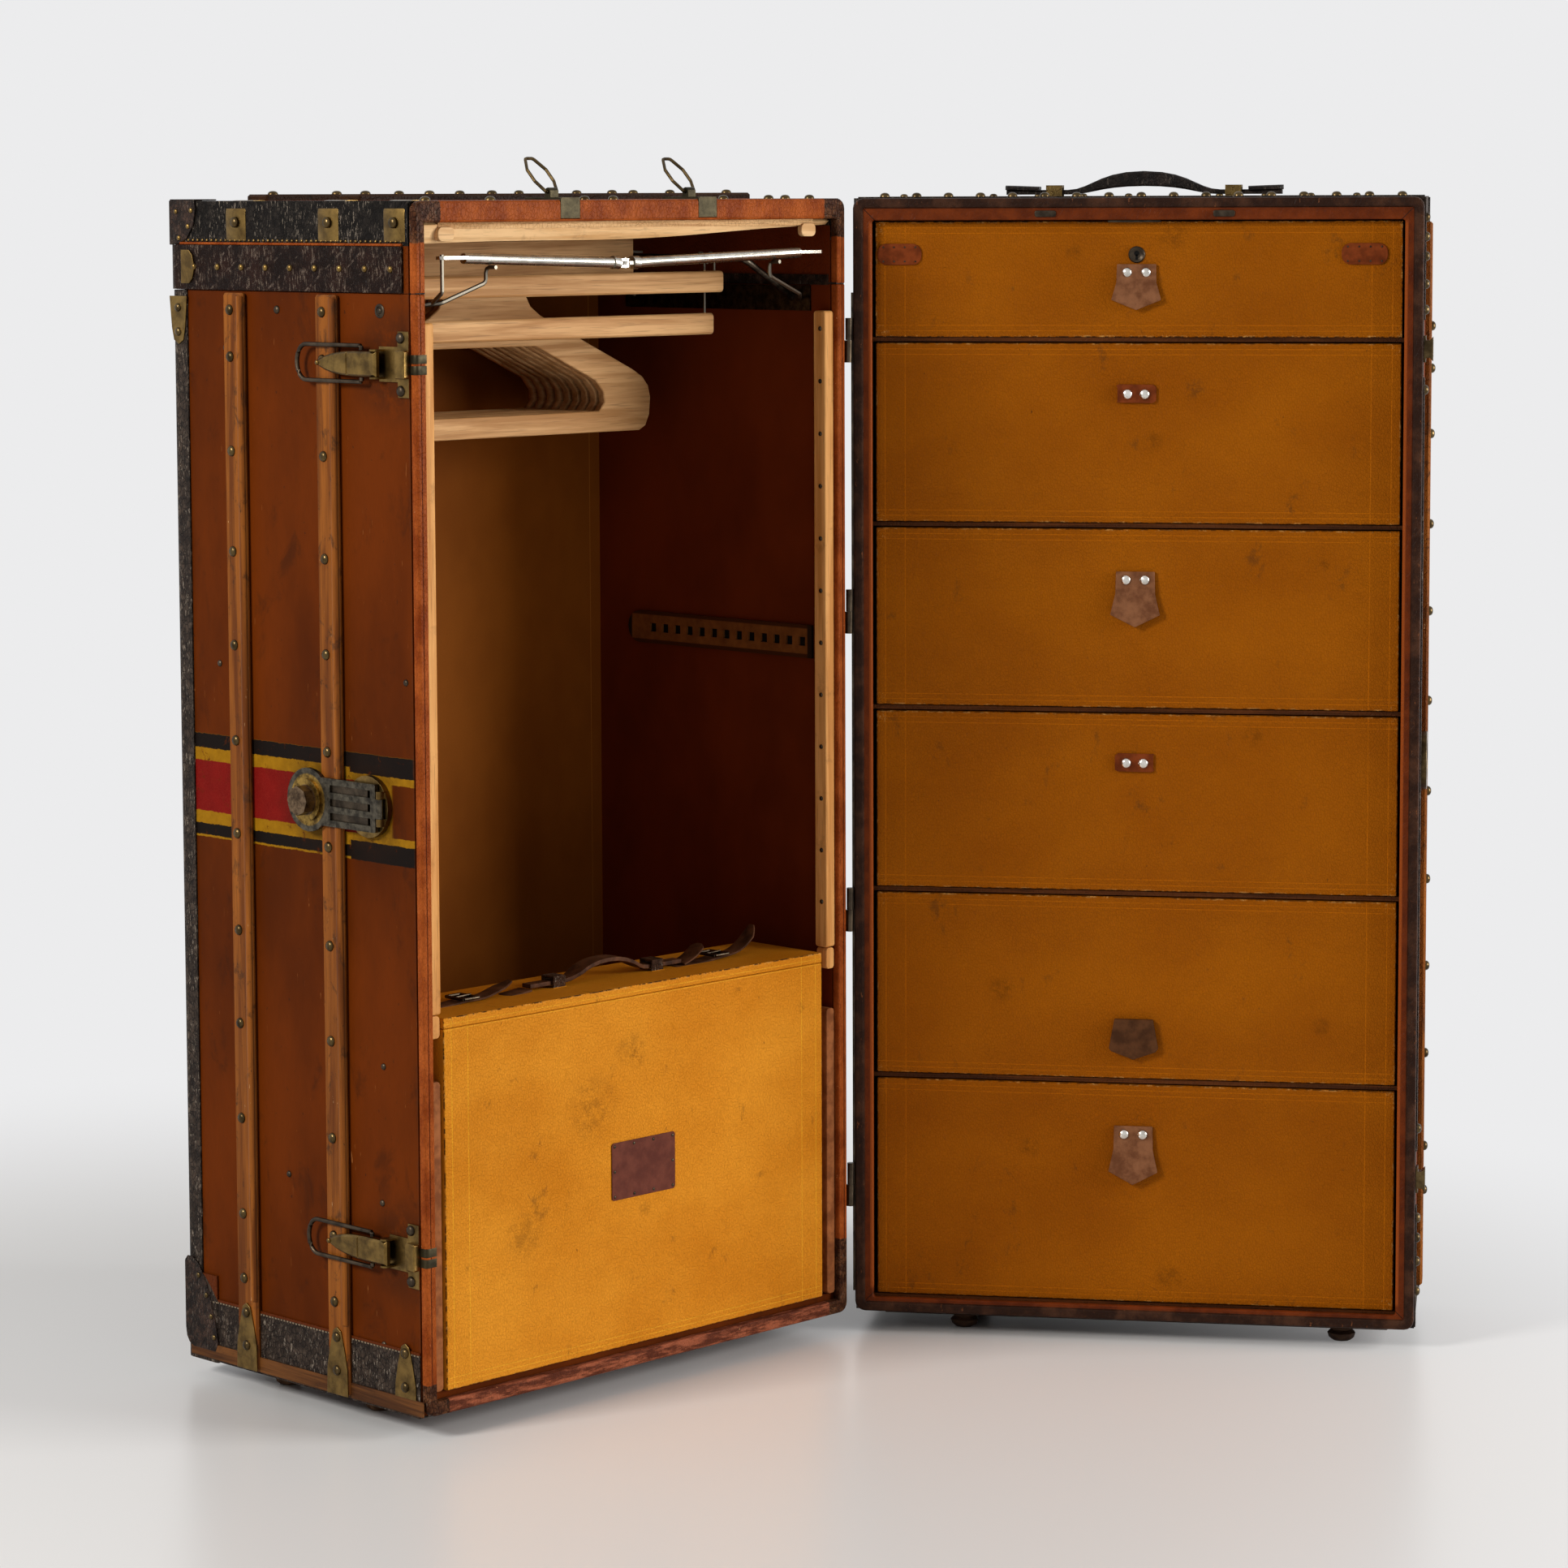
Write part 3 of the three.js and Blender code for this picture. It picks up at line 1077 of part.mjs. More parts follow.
// Draws a form symmetric about x = 0 from the steps of its right side, in shares of a width and a height:
// [u, v] for a straight step and [cu, cv, u, v] for a curved one
function mirrored(path, steps, width, height) {
  const ends = steps.map((step) => step.slice(-2));
  const draw = (side, step, [u, v]) => {
    if (step.length === 2) path.lineTo(side * u * width, v * height);
    else path.quadraticCurveTo(side * step[0] * width, step[1] * height, side * u * width, v * height);
  };
  const last = steps.length - 1;
  path.moveTo(ends[0][0] * width, ends[0][1] * height);
  for (let i = 1; i <= last; i += 1) draw(1, steps[i], ends[i]);
  path.lineTo(-ends[last][0] * width, ends[last][1] * height);
  for (let i = last; i > 0; i -= 1) draw(-1, steps[i], ends[i - 1]);
  return path;
}

function hanger(y) {
  const outline = mirrored(new THREE.Shape(), HANGER_SHARES, HANGER_HALF_W, HANGER_H);
  outline.holes.push(mirrored(new THREE.Path(), HANGER_SLOT_SHARES, HANGER_HALF_W, HANGER_H));
  const board = frontPlate(outline, -HANGER_T / 2, HANGER_T / 2, SLAT_EDGE / 2, 3)
    .translate(HANGER_X, y, HANGER_Z);
  const z0 = RUNNER_Z + RUNNER_R + FIT;
  const tongues = [-1, 1].map((side) => {
    const inner = HANGER_X + side * (HEAD_HALF_SHARE * HANGER_HALF_W - OVERRUN);
    const outer = HANGER_X + side * (RUNNER_HALF + TONGUE_REACH);
    const [x0, x1] = [inner, outer].sort((a, b) => a - b);
    return block(x0, x1, y - TONGUE_W / 2, y + TONGUE_W / 2, z0, z0 + TONGUE_T);
  });
  return joined([board, ...tongues]);
}

// A wooden bar hung on both runners by wire hooks
function trouserHanger(y, z) {
  const outline = roundedRect(
    HANGER_X - HANGER_HALF_W, HANGER_X + HANGER_HALF_W, z, z + BAR_H, 2 * SLAT_EDGE,
  );
  const bar = frontPlate(outline, y - BAR_T / 2, y + BAR_T / 2, SLAT_EDGE);
  const bend = RUNNER_R + FIT + BAR_WIRE_R;
  const hooks = [-1, 1].map((side) => {
    const x = HANGER_X + side * RUNNER_HALF;
    return wire([
      at(x + side * bend, y, z + BAR_H / 2), at(x + side * bend, y, RUNNER_Z + bend),
      at(x - side * bend, y, RUNNER_Z + bend), at(x - side * bend, y, RUNNER_Z - BAR_HOOK_DROP),
    ], BAR_WIRE_R, BAR_BEND_SHARE * bend, 6, 3);
  });
  return joined([bar, ...hooks]);
}

// Case with a lid, a strap handle and its staples

const CASE_SEAM = CASE_Z0 + CASE_H - CASE_LID_T;
const CASE_Y1 = CASE_FRONT + CASE_D;

function caseBody() {
  const inner = block(
    CASE_X0 + CASE_WALL, CASE_X1 - CASE_WALL, CASE_FRONT + CASE_WALL, CASE_Y1 - CASE_WALL,
    CASE_Z0 + CASE_WALL, CASE_SEAM + OVERRUN,
  );
  return block(CASE_X0, CASE_X1, CASE_FRONT, CASE_Y1, CASE_Z0, CASE_SEAM - FIT).subtract(inner);
}

function caseLid() {
  const top = CASE_SEAM + CASE_LID_T;
  const inner = block(
    CASE_X0 + CASE_WALL, CASE_X1 - CASE_WALL, CASE_FRONT + CASE_WALL, CASE_Y1 - CASE_WALL,
    CASE_SEAM - OVERRUN, top - CASE_WALL,
  );
  const tray = block(CASE_X0, CASE_X1, CASE_FRONT, CASE_Y1, CASE_SEAM, top).subtract(inner);
  const y = (CASE_FRONT + CASE_Y1) / 2;
  return joined([tray, ...staples(
    CASE_X, y, top, CASE_HANDLE_L, CASE_NECK_W, HANDLE_PAD_LIFT + CASE_HANDLE_T, CASE_WALL / 2,
  )]);
}

function caseHandle() {
  return handle({
    x: CASE_X, y: (CASE_FRONT + CASE_Y1) / 2, z: CASE_SEAM + CASE_LID_T, length: CASE_HANDLE_L,
    width: CASE_HANDLE_W, neck: CASE_NECK_W, lift: HANDLE_PAD_LIFT, thickness: CASE_HANDLE_T,
    gap: CASE_HANDLE_RISE - CASE_HANDLE_T, rise: CASE_HANDLE_RISE, round: 0,
  });
}

// Lid of the hanging half

const LID_AXIS_Y = WARDROBE_D + LID_AXIS_OUT;

// A leaf along the rear wall with knuckles at the given places, of as many places as there are knuckles
function lidHingeLeaf(z0, z1, y0, y1, places) {
  const [x0, x1] = [LOCK_X + LID_HINGE_INSET, HINGE_X - LID_HINGE_INSET];
  const step = (x1 - x0) / LID_KNUCKLE_COUNT;
  const below = z1 < PART_Z;
  const parts = [block(x0, x1, y0, y1, z0, z1)];
  for (const place of places) {
    const [low, high] = [x0 + place * step + FIT, x0 + (place + 1) * step - FIT];
    const [arm0, arm1] = below ? [PART_Z - 2 * LID_KNUCKLE_R, PART_Z] : [PART_Z, z0 + LID_KNUCKLE_R];
    parts.push(block(low, high, y1 - LID_LEAF_T / 2, LID_AXIS_Y, arm0, arm1));
    parts.push(pin(at(low, LID_AXIS_Y, PART_Z), at(high, LID_AXIS_Y, PART_Z), LID_KNUCKLE_R));
  }
  return joined(parts);
}

function lidShell() {
  const z0 = PART_Z + FIT;
  const inner = block(LOCK_IN, HINGE_IN, -OVERRUN, WARDROBE_D - BACK, z0 - OVERRUN, TRUNK_H - WALL);
  const batten = block(
    LOCK_IN + LID_BATTEN_INSET, HINGE_IN - LID_BATTEN_INSET, SHELL_FRONT, SHELL_FRONT + LID_BATTEN_D,
    TRUNK_H - WALL - LID_BATTEN_T, TRUNK_H - WALL / 2,
  );
  const slats = SLAT_PLACES.map((y) => {
    const outline = roundedRect(
      LOCK_X + EDGE_W, HINGE_X - EDGE_W, y - SLAT_W / 2, y + SLAT_W / 2, SLAT_CORNER,
    );
    return topPlate(outline, TRUNK_H - WALL / 2, TRUNK_H + SLAT_T, SLAT_EDGE);
  });
  return joined([shell(LOCK_X, HINGE_X, WARDROBE_D, z0, TRUNK_H).subtract(inner), batten, ...slats]);
}

function lidRim() {
  const z0 = PART_Z + FIT;
  const shape = new THREE.Shape();
  shape.moveTo(LOCK_X, z0);
  shape.lineTo(LOCK_IN, z0);
  shape.lineTo(LOCK_IN, TRUNK_H - LID_RIM_TOP);
  shape.lineTo(HINGE_IN, TRUNK_H - LID_RIM_TOP);
  shape.lineTo(HINGE_IN, z0);
  shape.lineTo(HINGE_X, z0);
  shape.lineTo(HINGE_X, TRUNK_H - CORNER_R);
  shape.absarc(HINGE_X - CORNER_R, TRUNK_H - CORNER_R, CORNER_R, 0, Math.PI / 2);
  shape.lineTo(LOCK_X + CORNER_R, TRUNK_H);
  shape.absarc(LOCK_X + CORNER_R, TRUNK_H - CORNER_R, CORNER_R, Math.PI / 2, Math.PI);
  const reach = CLIP_W / 2 + FIT;
  const seats = [-1, 1].map((side) => {
    const x = MID_X + side * CLIP_SPREAD;
    return block(
      x - reach, x + reach, -OVERRUN, FRONT + CLIP_TAB_T + FIT, TRUNK_H - CLIP_TAB_H - FIT, TRUNK_H + OVERRUN,
    );
  });
  return cut(frontPlate(shape, FRONT, RIM_D, RIM_ROUND), seats);
}

function lidBand() {
  const z0 = PART_Z + 2 * FIT;
  const hingeStart = 2 * HINGE_KNUCKLE_R + HINGE_LEAF_W;
  const band = layer(LOCK_X, HINGE_X, LID_BAND_START, WARDROBE_D, z0, z0 + LID_BAND_H, LID_BAND_T, true);
  return band.subtract(block(
    HINGE_X, HINGE_X + LID_BAND_H, -OVERRUN, hingeStart, z0 - OVERRUN, z0 + 2 * LID_BAND_H,
  ));
}

function clipBase(x) {
  const half = CLIP_W / 2;
  const y0 = FRONT;
  const z0 = TRUNK_H + FIT;
  const plate = topPlate(roundedRect(x - half, x + half, y0, y0 + CLIP_L, SLAT_EDGE / 2), z0, z0 + CLIP_T);
  const tab = block(x - half, x + half, y0, y0 + CLIP_TAB_T, TRUNK_H - CLIP_TAB_H, z0 + CLIP_T / 2);
  const lugHalf = CLIP_LUG_W / 2;
  const axisZ = TRUNK_H + CLIP_PIVOT_H;
  const [lugY0, lugY1] = [CLIP_PIVOT_Y - CLIP_LUG_R, CLIP_PIVOT_Y + CLIP_LUG_R];
  const lug = block(x - lugHalf, x + lugHalf, lugY0, lugY1, z0 + CLIP_T / 2, axisZ)
    .add(pin(at(x - lugHalf, CLIP_PIVOT_Y, axisZ), at(x + lugHalf, CLIP_PIVOT_Y, axisZ), CLIP_LUG_R));
  const bore = pin(
    at(x - CLIP_W, CLIP_PIVOT_Y, axisZ), at(x + CLIP_W, CLIP_PIVOT_Y, axisZ), CLIP_BAIL_R + FIT,
  );
  return joined([plate, tab, lug]).subtract(bore);
}

// A pointed wire loop that leans back from its pivot
function clipBail(x) {
  const lean = THREE.MathUtils.degToRad(CLIP_LEAN_DEG);
  const axisZ = TRUNK_H + CLIP_PIVOT_H;
  const [reach, rise] = [CLIP_BAIL_L * Math.cos(lean), CLIP_BAIL_L * Math.sin(lean)];
  const spot = (u, v) => at(x + u * CLIP_BAIL_HALF_W, CLIP_PIVOT_Y + v * reach, axisZ + v * rise);
  const foot = (CLIP_LUG_W / 2 + CLIP_BAIL_R + FIT) / CLIP_BAIL_HALF_W;
  const edge = [[foot, 0], ...CLIP_BAIL_SHARES];
  const loop = wire([
    ...edge.map(([u, v]) => spot(-u, v)), ...edge.reverse().map(([u, v]) => spot(u, v)),
  ], CLIP_BAIL_R, 2 * CLIP_BAIL_R);
  const axle = pin(spot(-foot, 0), spot(foot, 0), CLIP_BAIL_R, 8);
  return loop.add(axle);
}

function buildWardrobe(parent) {
  const half = new THREE.Group();
  half.position.z = FOOT_H;
  half.rotation.z = THREE.MathUtils.degToRad(180 - OPENING_DEG);
  parent.add(half);
  piece(half, 'wardrobe_carcass', CANVAS, wardrobeCarcass());
  piece(half, 'wardrobe_rim', LACQUER, wardrobeRim());
  piece(half, 'wardrobe_binding', DARK_LEATHER, wardrobeBinding());
  piece(half, 'slat_lock_front', SLAT_WOOD, lockSlat(SLAT_PLACES[0]));
  piece(half, 'slat_lock_rear', SLAT_WOOD, lockSlat(SLAT_PLACES[1]));
  piece(half, 'strip_lock', PALE_WOOD, sideStrip(LOCK_IN + FIT, LOCK_IN + STRIP_W));
  piece(half, 'strip_hinge', PALE_WOOD, sideStrip(HINGE_IN - STRIP_W, HINGE_IN - FIT));
  const glides = WARDROBE_GLIDE_SHARES.map((share) => LOCK_X + share * TRUNK_W);
  const [b0, b1] = [LOCK_X + EDGE_W + FIT, HINGE_X - EDGE_W - FIT];
  piece(half, 'wardrobe_batten_front', SLAT_WOOD, batten(b0, b1, SLAT_PLACES[0], glides));
  piece(half, 'wardrobe_batten_rear', SLAT_WOOD, batten(b0, b1, SLAT_PLACES[1], glides));
  piece(half, 'runner_lock', IRON, runner(-1));
  piece(half, 'runner_hinge', IRON, runner(1));
  piece(half, 'side_rail', IRON, sideRail());
  piece(half, 'hinge_strip_wardrobe', IRON, hingeLeaf(-1, HINGE_END_GAP, PART_Z - LATCH_EDGE_GAP, true));
  for (const [place, z] of [['upper', LATCH_UPPER_Z], ['lower', LATCH_LOWER_Z]]) {
    piece(half, `latch_base_${place}`, BRASS, latchBase(z));
    piece(half, `latch_lever_${place}`, BRASS, latchLever(z));
    piece(half, `latch_bail_${place}`, IRON, latchBail(z));
  }
  piece(half, 'lock_base', BRASS, lockBase());
  piece(half, 'lock_hasp', BRASS, lockHasp());
  piece(half, 'rod_lock_half', NICKEL, rodHalf(-1));
  piece(half, 'rod_hinge_half', NICKEL, rodHalf(1));
  for (let i = 0; i < HANGER_COUNT; i += 1) {
    piece(half, `hanger_${i + 1}`, PALE_WOOD, hanger(HANGER_FRONT + i * HANGER_PITCH));
  }
  piece(half, 'trouser_hanger_upper', PALE_WOOD, trouserHanger(BAR_UPPER_Y, BAR_UPPER_Z));
  piece(half, 'trouser_hanger_lower', PALE_WOOD, trouserHanger(BAR_LOWER_Y, BAR_LOWER_Z));
  piece(half, 'case_body', CASE_CLOTH, caseBody());
  piece(half, 'case_lid', CASE_CLOTH, caseLid());
  piece(half, 'case_handle', DARK_LEATHER, caseHandle());
  piece(half, 'lid_shell', CANVAS, lidShell());
  piece(half, 'lid_rim', LACQUER, lidRim());
  piece(half, 'lid_band', DARK_LEATHER, lidBand());
  const leafY = WARDROBE_D + FIT + LID_BAND_T + FIT;
  piece(half, 'lid_hinge_lid', IRON, lidHingeLeaf(
    PART_Z + LID_KNUCKLE_R, PART_Z + LID_LEAF_H, leafY, leafY + LID_LEAF_T, [1, 3],
  ));
  for (const [place, side] of [['left', -1], ['right', 1]]) {
    piece(half, `clip_base_${place}`, BRASS, clipBase(MID_X + side * CLIP_SPREAD));
    piece(half, `clip_bail_${place}`, BRASS, clipBail(MID_X + side * CLIP_SPREAD));
  }
}

// The trunk, set with its footprint centred on the origin and its glides on the floor
const group = new THREE.Group();
const trunk = new THREE.Group();
group.add(trunk);
buildChest(trunk);
buildWardrobe(trunk);
group.updateMatrixWorld(true);
const box = new THREE.Box3().setFromObject(group, true);
trunk.position.set(-(box.min.x + box.max.x) / 2, -(box.min.y + box.max.y) / 2, -box.min.z);
group.updateMatrixWorld(true);

export default group;
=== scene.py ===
"""Looks of a wardrobe trunk that stands on end, opened like a book: finishes, nails, straps and trim."""

import json
import math
import random

import bmesh
import bpy
from mathutils import Matrix, Vector


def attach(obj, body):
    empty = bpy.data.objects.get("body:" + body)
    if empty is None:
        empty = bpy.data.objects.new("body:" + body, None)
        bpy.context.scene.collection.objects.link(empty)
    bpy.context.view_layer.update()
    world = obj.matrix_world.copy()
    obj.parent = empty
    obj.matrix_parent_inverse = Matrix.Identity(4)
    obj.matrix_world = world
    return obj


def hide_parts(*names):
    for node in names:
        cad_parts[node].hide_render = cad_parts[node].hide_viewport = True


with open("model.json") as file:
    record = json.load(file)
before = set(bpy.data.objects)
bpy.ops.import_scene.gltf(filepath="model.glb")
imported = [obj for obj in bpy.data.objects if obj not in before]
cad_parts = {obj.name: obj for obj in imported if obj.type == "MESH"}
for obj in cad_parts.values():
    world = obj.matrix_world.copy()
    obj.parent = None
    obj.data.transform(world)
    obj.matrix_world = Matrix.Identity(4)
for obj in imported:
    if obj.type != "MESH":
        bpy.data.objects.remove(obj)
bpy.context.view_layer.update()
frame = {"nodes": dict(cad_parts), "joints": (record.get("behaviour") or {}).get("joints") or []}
NODES = frame["nodes"]

# Sizes in millimetres. Each half is measured from the hinge line, with z from the trunk's bottom.
MM = 0.001
FOOT_H = 22
TRUNK_W, TRUNK_H = 560, 1120
CHEST_D, WARDROBE_D = 200, 356
HINGE_OFF, WALL, BACK = 4, 12, 10
CHEST_X0, CHEST_X1 = HINGE_OFF, HINGE_OFF + TRUNK_W
LOCK_X, HINGE_X = -HINGE_OFF - TRUNK_W, -HINGE_OFF
LOCK_IN, HINGE_IN = LOCK_X + WALL, HINGE_X - WALL
BACK_IN = WARDROBE_D - BACK
MID_X = (LOCK_X + HINGE_X) / 2
CHEST_MID = (CHEST_X0 + CHEST_X1) / 2
PART_Z = 1036
SLAT_T = 6
LOCK_SLATS = (122, 257)
BACK_SLATS = (0.343, 0.722)
LID_BAND_T, LID_BAND_Z = 3, 1058
LATCHES = (("upper", 972), ("lower", 150))
LOCK_Z = 564
EDGE_W = 25
STITCH_Z = 57
NO_TOP = 2000
OPEN_TURN = math.radians(54.7)
HINGE = Vector(next(j["pos_m"] for j in frame["joints"] if j["name"] == "trunk_hinge"))

LEFT, RIGHT = Vector((-1, 0, 0)), Vector((1, 0, 0))
FRONT, REAR = Vector((0, -1, 0)), Vector((0, 1, 0))
UP, DOWN = Vector((0, 0, 1)), Vector((0, 0, -1))
SIDES = (-1, 1)


class Half:
    """The place of one half of the trunk in the shared frame."""

    def __init__(self, turn):
        self.turn = turn
        self.foot = Vector((HINGE.x, HINGE.y, FOOT_H * MM))
        self.matrix = Matrix.Translation(self.foot) @ Matrix.Rotation(turn, 4, "Z") @ Matrix.Scale(MM, 4)


CHEST = Half(0)
WARDROBE = Half(OPEN_TURN)


def half_of(body):
    return CHEST if body in ("chest", "handle_top") or body.startswith("drawer") else WARDROBE


def rgb(red, green, blue):
    """Linear colour of an sRGB one given from 0 to 255."""
    parts = [v / 255 for v in (red, green, blue)]
    return (*[v / 12.92 if v <= 0.04045 else ((v + 0.055) / 1.055) ** 2.4 for v in parts], 1.0)


def shade(colour, share):
    return [min(255, v * share) for v in colour]


def add_node(tree, kind, inputs=(), **settings):
    """A shader node with its settings and inputs. An input that is a socket gets a link."""
    node = tree.nodes.new("ShaderNode" + kind)
    for name, value in settings.items():
        setattr(node, name, value)
    for key, value in dict(inputs).items():
        value = getattr(value, "socket", value)
        if isinstance(value, bpy.types.NodeSocket):
            tree.links.new(value, node.inputs[key])
        else:
            node.inputs[key].default_value = value
    return node


# Materials

class Value:
    """A number or a colour in a material. * is both masks, | is either one and ~ is the opposite."""

    def __init__(self, paint, socket):
        self.paint = paint
        self.socket = socket

    def __add__(self, other):
        return self.paint.math("ADD", self, other)

    def __sub__(self, other):
        return self.paint.math("SUBTRACT", self, other)

    def __rsub__(self, other):
        return self.paint.math("SUBTRACT", other, self)

    def __mul__(self, other):
        return self.paint.math("MULTIPLY", self, other)

    def __or__(self, other):
        return self.paint.math("MAXIMUM", self, other)

    def __invert__(self):
        return 1.0 - self

    def __abs__(self):
        return self.paint.math("ABSOLUTE", self)

    def least(self, other):
        return self.paint.math("MINIMUM", self, other)

    def over(self, edge, soft=1.0):
        """0 below the edge and 1 above it."""
        ends = {"Value": self, "From Min": edge - soft / 2, "From Max": edge + soft / 2}
        return self.paint.add("MapRange", ends, interpolation_type="SMOOTHSTEP")

    def under(self, edge, soft=1.0):
        return ~self.over(edge, soft)

    def span(self, low, high, soft=1.0):
        return self.over(low, soft) * self.under(high, soft)

    def between(self, low, high):
        """A number that goes from low to high as this one goes from 0 to 1."""
        return self.paint.add("MapRange", {"Value": self, "To Min": low, "To Max": high})

    def tones(self, dark, light, soft=0.4, edge=0.5):
        """Two colours that meet softly where this number passes the edge."""
        return self.paint.mix(self.over(edge, soft), dark, light)

    def lay(self, mask, colour, strength=None):
        """This colour with another one laid over it where the mask is 1."""
        return self.paint.mix(mask if strength is None else mask * strength, self, colour)


class Paint:
    """A node material that measures in a half's own millimetres."""

    def __init__(self, name, half):
        self.material = bpy.data.materials.new(name)
        self.material.use_nodes = True
        self.tree = self.material.node_tree
        self.shader = self.tree.nodes["Principled BSDF"]
        self.place = self.add("Mapping", {
            "Vector": add_node(self.tree, "TexCoord").outputs["Object"], "Location": half.foot,
            "Rotation": (0, 0, half.turn), "Scale": (MM, MM, MM),
        }, vector_type="TEXTURE")
        split = add_node(self.tree, "SeparateXYZ", {0: self.place})
        self.axes = [Value(self, socket) for socket in split.outputs]
        self.normal = None

    def add(self, kind, inputs, output=0, **settings):
        return Value(self, add_node(self.tree, kind, inputs, **settings).outputs[output])

    def math(self, operation, first, second=0.0):
        return self.add("Math", {0: first, 1: second}, operation=operation)

    def mix(self, share, first, second):
        first, second = [c if isinstance(c, Value) else rgb(*c) for c in (first, second)]
        return self.add("Mix", {0: share, 6: first, 7: second}, 2, data_type="RGBA")

    def scaled(self, size, stretch):
        """The place in units of a size, drawn out by a share along z or along each axis."""
        shares = stretch if isinstance(stretch, (list, tuple)) else (1, 1, stretch)
        steps = [1 / (size * s) for s in shares]
        return self.add("VectorMath", {0: self.place, 1: steps}, operation="MULTIPLY")

    def noise(self, size, detail=3.0, rough=0.55, swirl=0.0, stretch=1):
        return self.add("TexNoise", {
            "Vector": self.scaled(size, stretch), "Scale": 1.0, "Detail": detail, "Roughness": rough,
            "Distortion": swirl,
        })

    def cells(self, size, stretch=1):
        """Distance to the borders between cells."""
        inputs = {"Vector": self.scaled(size, stretch), "Scale": 1.0}
        return self.add("TexVoronoi", inputs, "Distance", feature="DISTANCE_TO_EDGE")

    def weave(self, pitch, *axes):
        """Threads along two axes, 0 between threads and 1 on them."""
        first, second = [abs(self.math("SINE", axis * (2 * math.pi / pitch))) for axis in axes]
        return first * second

    def spot(self, first, second, place, radius, soft):
        """1 inside a round spot, from two axes and a place on them."""
        squares = [self.math("POWER", axis - at, 2.0) for axis, at in zip((first, second), place)]
        return self.math("SQRT", squares[0] + squares[1]).under(radius, soft)

    def bump(self, height, depth, strength=1.0):
        inputs = {"Distance": depth * MM, "Strength": strength, "Height": height}
        if self.normal is not None:
            inputs["Normal"] = self.normal
        self.normal = self.add("Bump", inputs)

    def done(self, colour, roughness, metallic=0.0, gloss=0.1):
        """The finished material; each value is a number or a Value."""
        inputs = {"Base Color": colour, "Roughness": roughness, "Metallic": metallic}
        inputs["Specular IOR Level"] = gloss
        if self.normal is not None:
            inputs["Normal"] = self.normal
        for key, value in inputs.items():
            if isinstance(value, Value):
                self.tree.links.new(value.socket, self.shader.inputs[key])
            else:
                self.shader.inputs[key].default_value = value
        return self.material


def canvas_look(paint):
    """Colour of the coated canvas: blotches, fibres, dark stains and pale scratches."""
    dark = (72, 27, 1)
    blotch = paint.noise(150, 5, 0.6, 0, 2.2)
    colour = blotch.tones(dark, (103, 43, 4), 0.42)
    colour = colour.lay(paint.noise(1.1, 3, 0.7, 0, 9).between(0, 0.35), shade(dark, 0.7))
    stain = paint.noise(46, 6, 0.7, 0.6, 1.7).over(0.63, 0.14)
    colour = colour.lay(stain, (44, 20, 6), 0.5)
    speck = paint.noise(4.2, 2, 0.6, 0, 1.5).over(0.735, 0.03)
    colour = colour.lay(speck, (44, 24, 14), 0.7)
    scratch = paint.noise(2.2, 3, 0.75, 0.4, 16).over(0.70, 0.03) * paint.noise(60, 2, 0.5).over(0.56, 0.08)
    return colour.lay(scratch, (176, 112, 60), 0.6), blotch


def leather_look(paint, dark, light, size, dry=0.55):
    """Colour of dark leather: soft wear, fine cracks, and pale strokes where its finish has dried out."""
    worn = paint.noise(12, 5, 0.65, 0.3)
    colour = worn.tones(dark, light, 0.3, 0.55)
    strokes = paint.noise(26, 3, 0.6).over(0.47, 0.16) * paint.noise(1.7, 3, 0.7, 0.3, 4.5).over(0.60, 0.06)
    colour = colour.lay(strokes, (136, 124, 110), dry)
    gap = paint.cells(size, 1.5).under(0.05, 0.06)
    paint.bump(~gap, 0.5, 0.8)
    paint.bump(worn, 0.7, 0.6)
    return colour.lay(gap, (12, 8, 6), 0.7)


def lining_look(paint, roof_z):
    """Colour of the cloth lining, and the mask of where it is. Its tones differ between the walls as painted
    light and shade: darker on the hinge wall and the other walls, lighter on the back wall and lightest on
    the lock wall.
    """
    x, y, z = paint.axes
    blotch = paint.noise(170, 4, 0.6, 0, 1.6)
    inside = x.span(LOCK_IN - 0.5, HINGE_IN + 0.5, 0.2) * y.under(BACK_IN + 0.5, 0.2) * y.over(9.0, 0.4)
    inside = inside * z.over(19.5, 0.2) * z.under(roof_z, 0.2)
    at_back = y.over(BACK_IN - 0.6, 0.3)
    # Painted light and shade: the same cloth is darker on the hinge wall and the other walls, and lighter on
    # the back wall and on the lock wall.
    colour = blotch.tones((88, 32, 8), (112, 44, 12)).lay(at_back, blotch.tones((122, 64, 14), (144, 80, 22)))
    colour = paint.mix(x.over(LOCK_IN + 0.6, 0.3), (150, 88, 30), colour)
    seam = x.span(HINGE_IN - 14.2, HINGE_IN - 13.4, 0.2) * at_back
    colour = colour.lay(seam, (190, 120, 52), 0.6)
    return colour.lay(paint.noise(2.0, 3, 0.65).between(0, 0.22), (50, 24, 8)), inside


def wood_look(paint, along, dark, light, ring=9.0):
    """Colour of wood with its grain along one axis of the half, and the grain itself."""

    def drawn_out(share):
        return [share if axis == along else 1 for axis in range(3)]

    grain = paint.noise(ring, 4, 0.6, 0.5, drawn_out(22))
    pore = paint.noise(1.2, 2, 0.6, 0, drawn_out(40)).over(0.62, 0.1)
    tone = paint.noise(110, 3, 0.5).over(0.5, 0.4)
    colour = grain.tones(dark, light, 0.3).lay(tone, dark, 0.25)
    return colour.lay(pore, shade(dark, 0.55), 0.35), grain


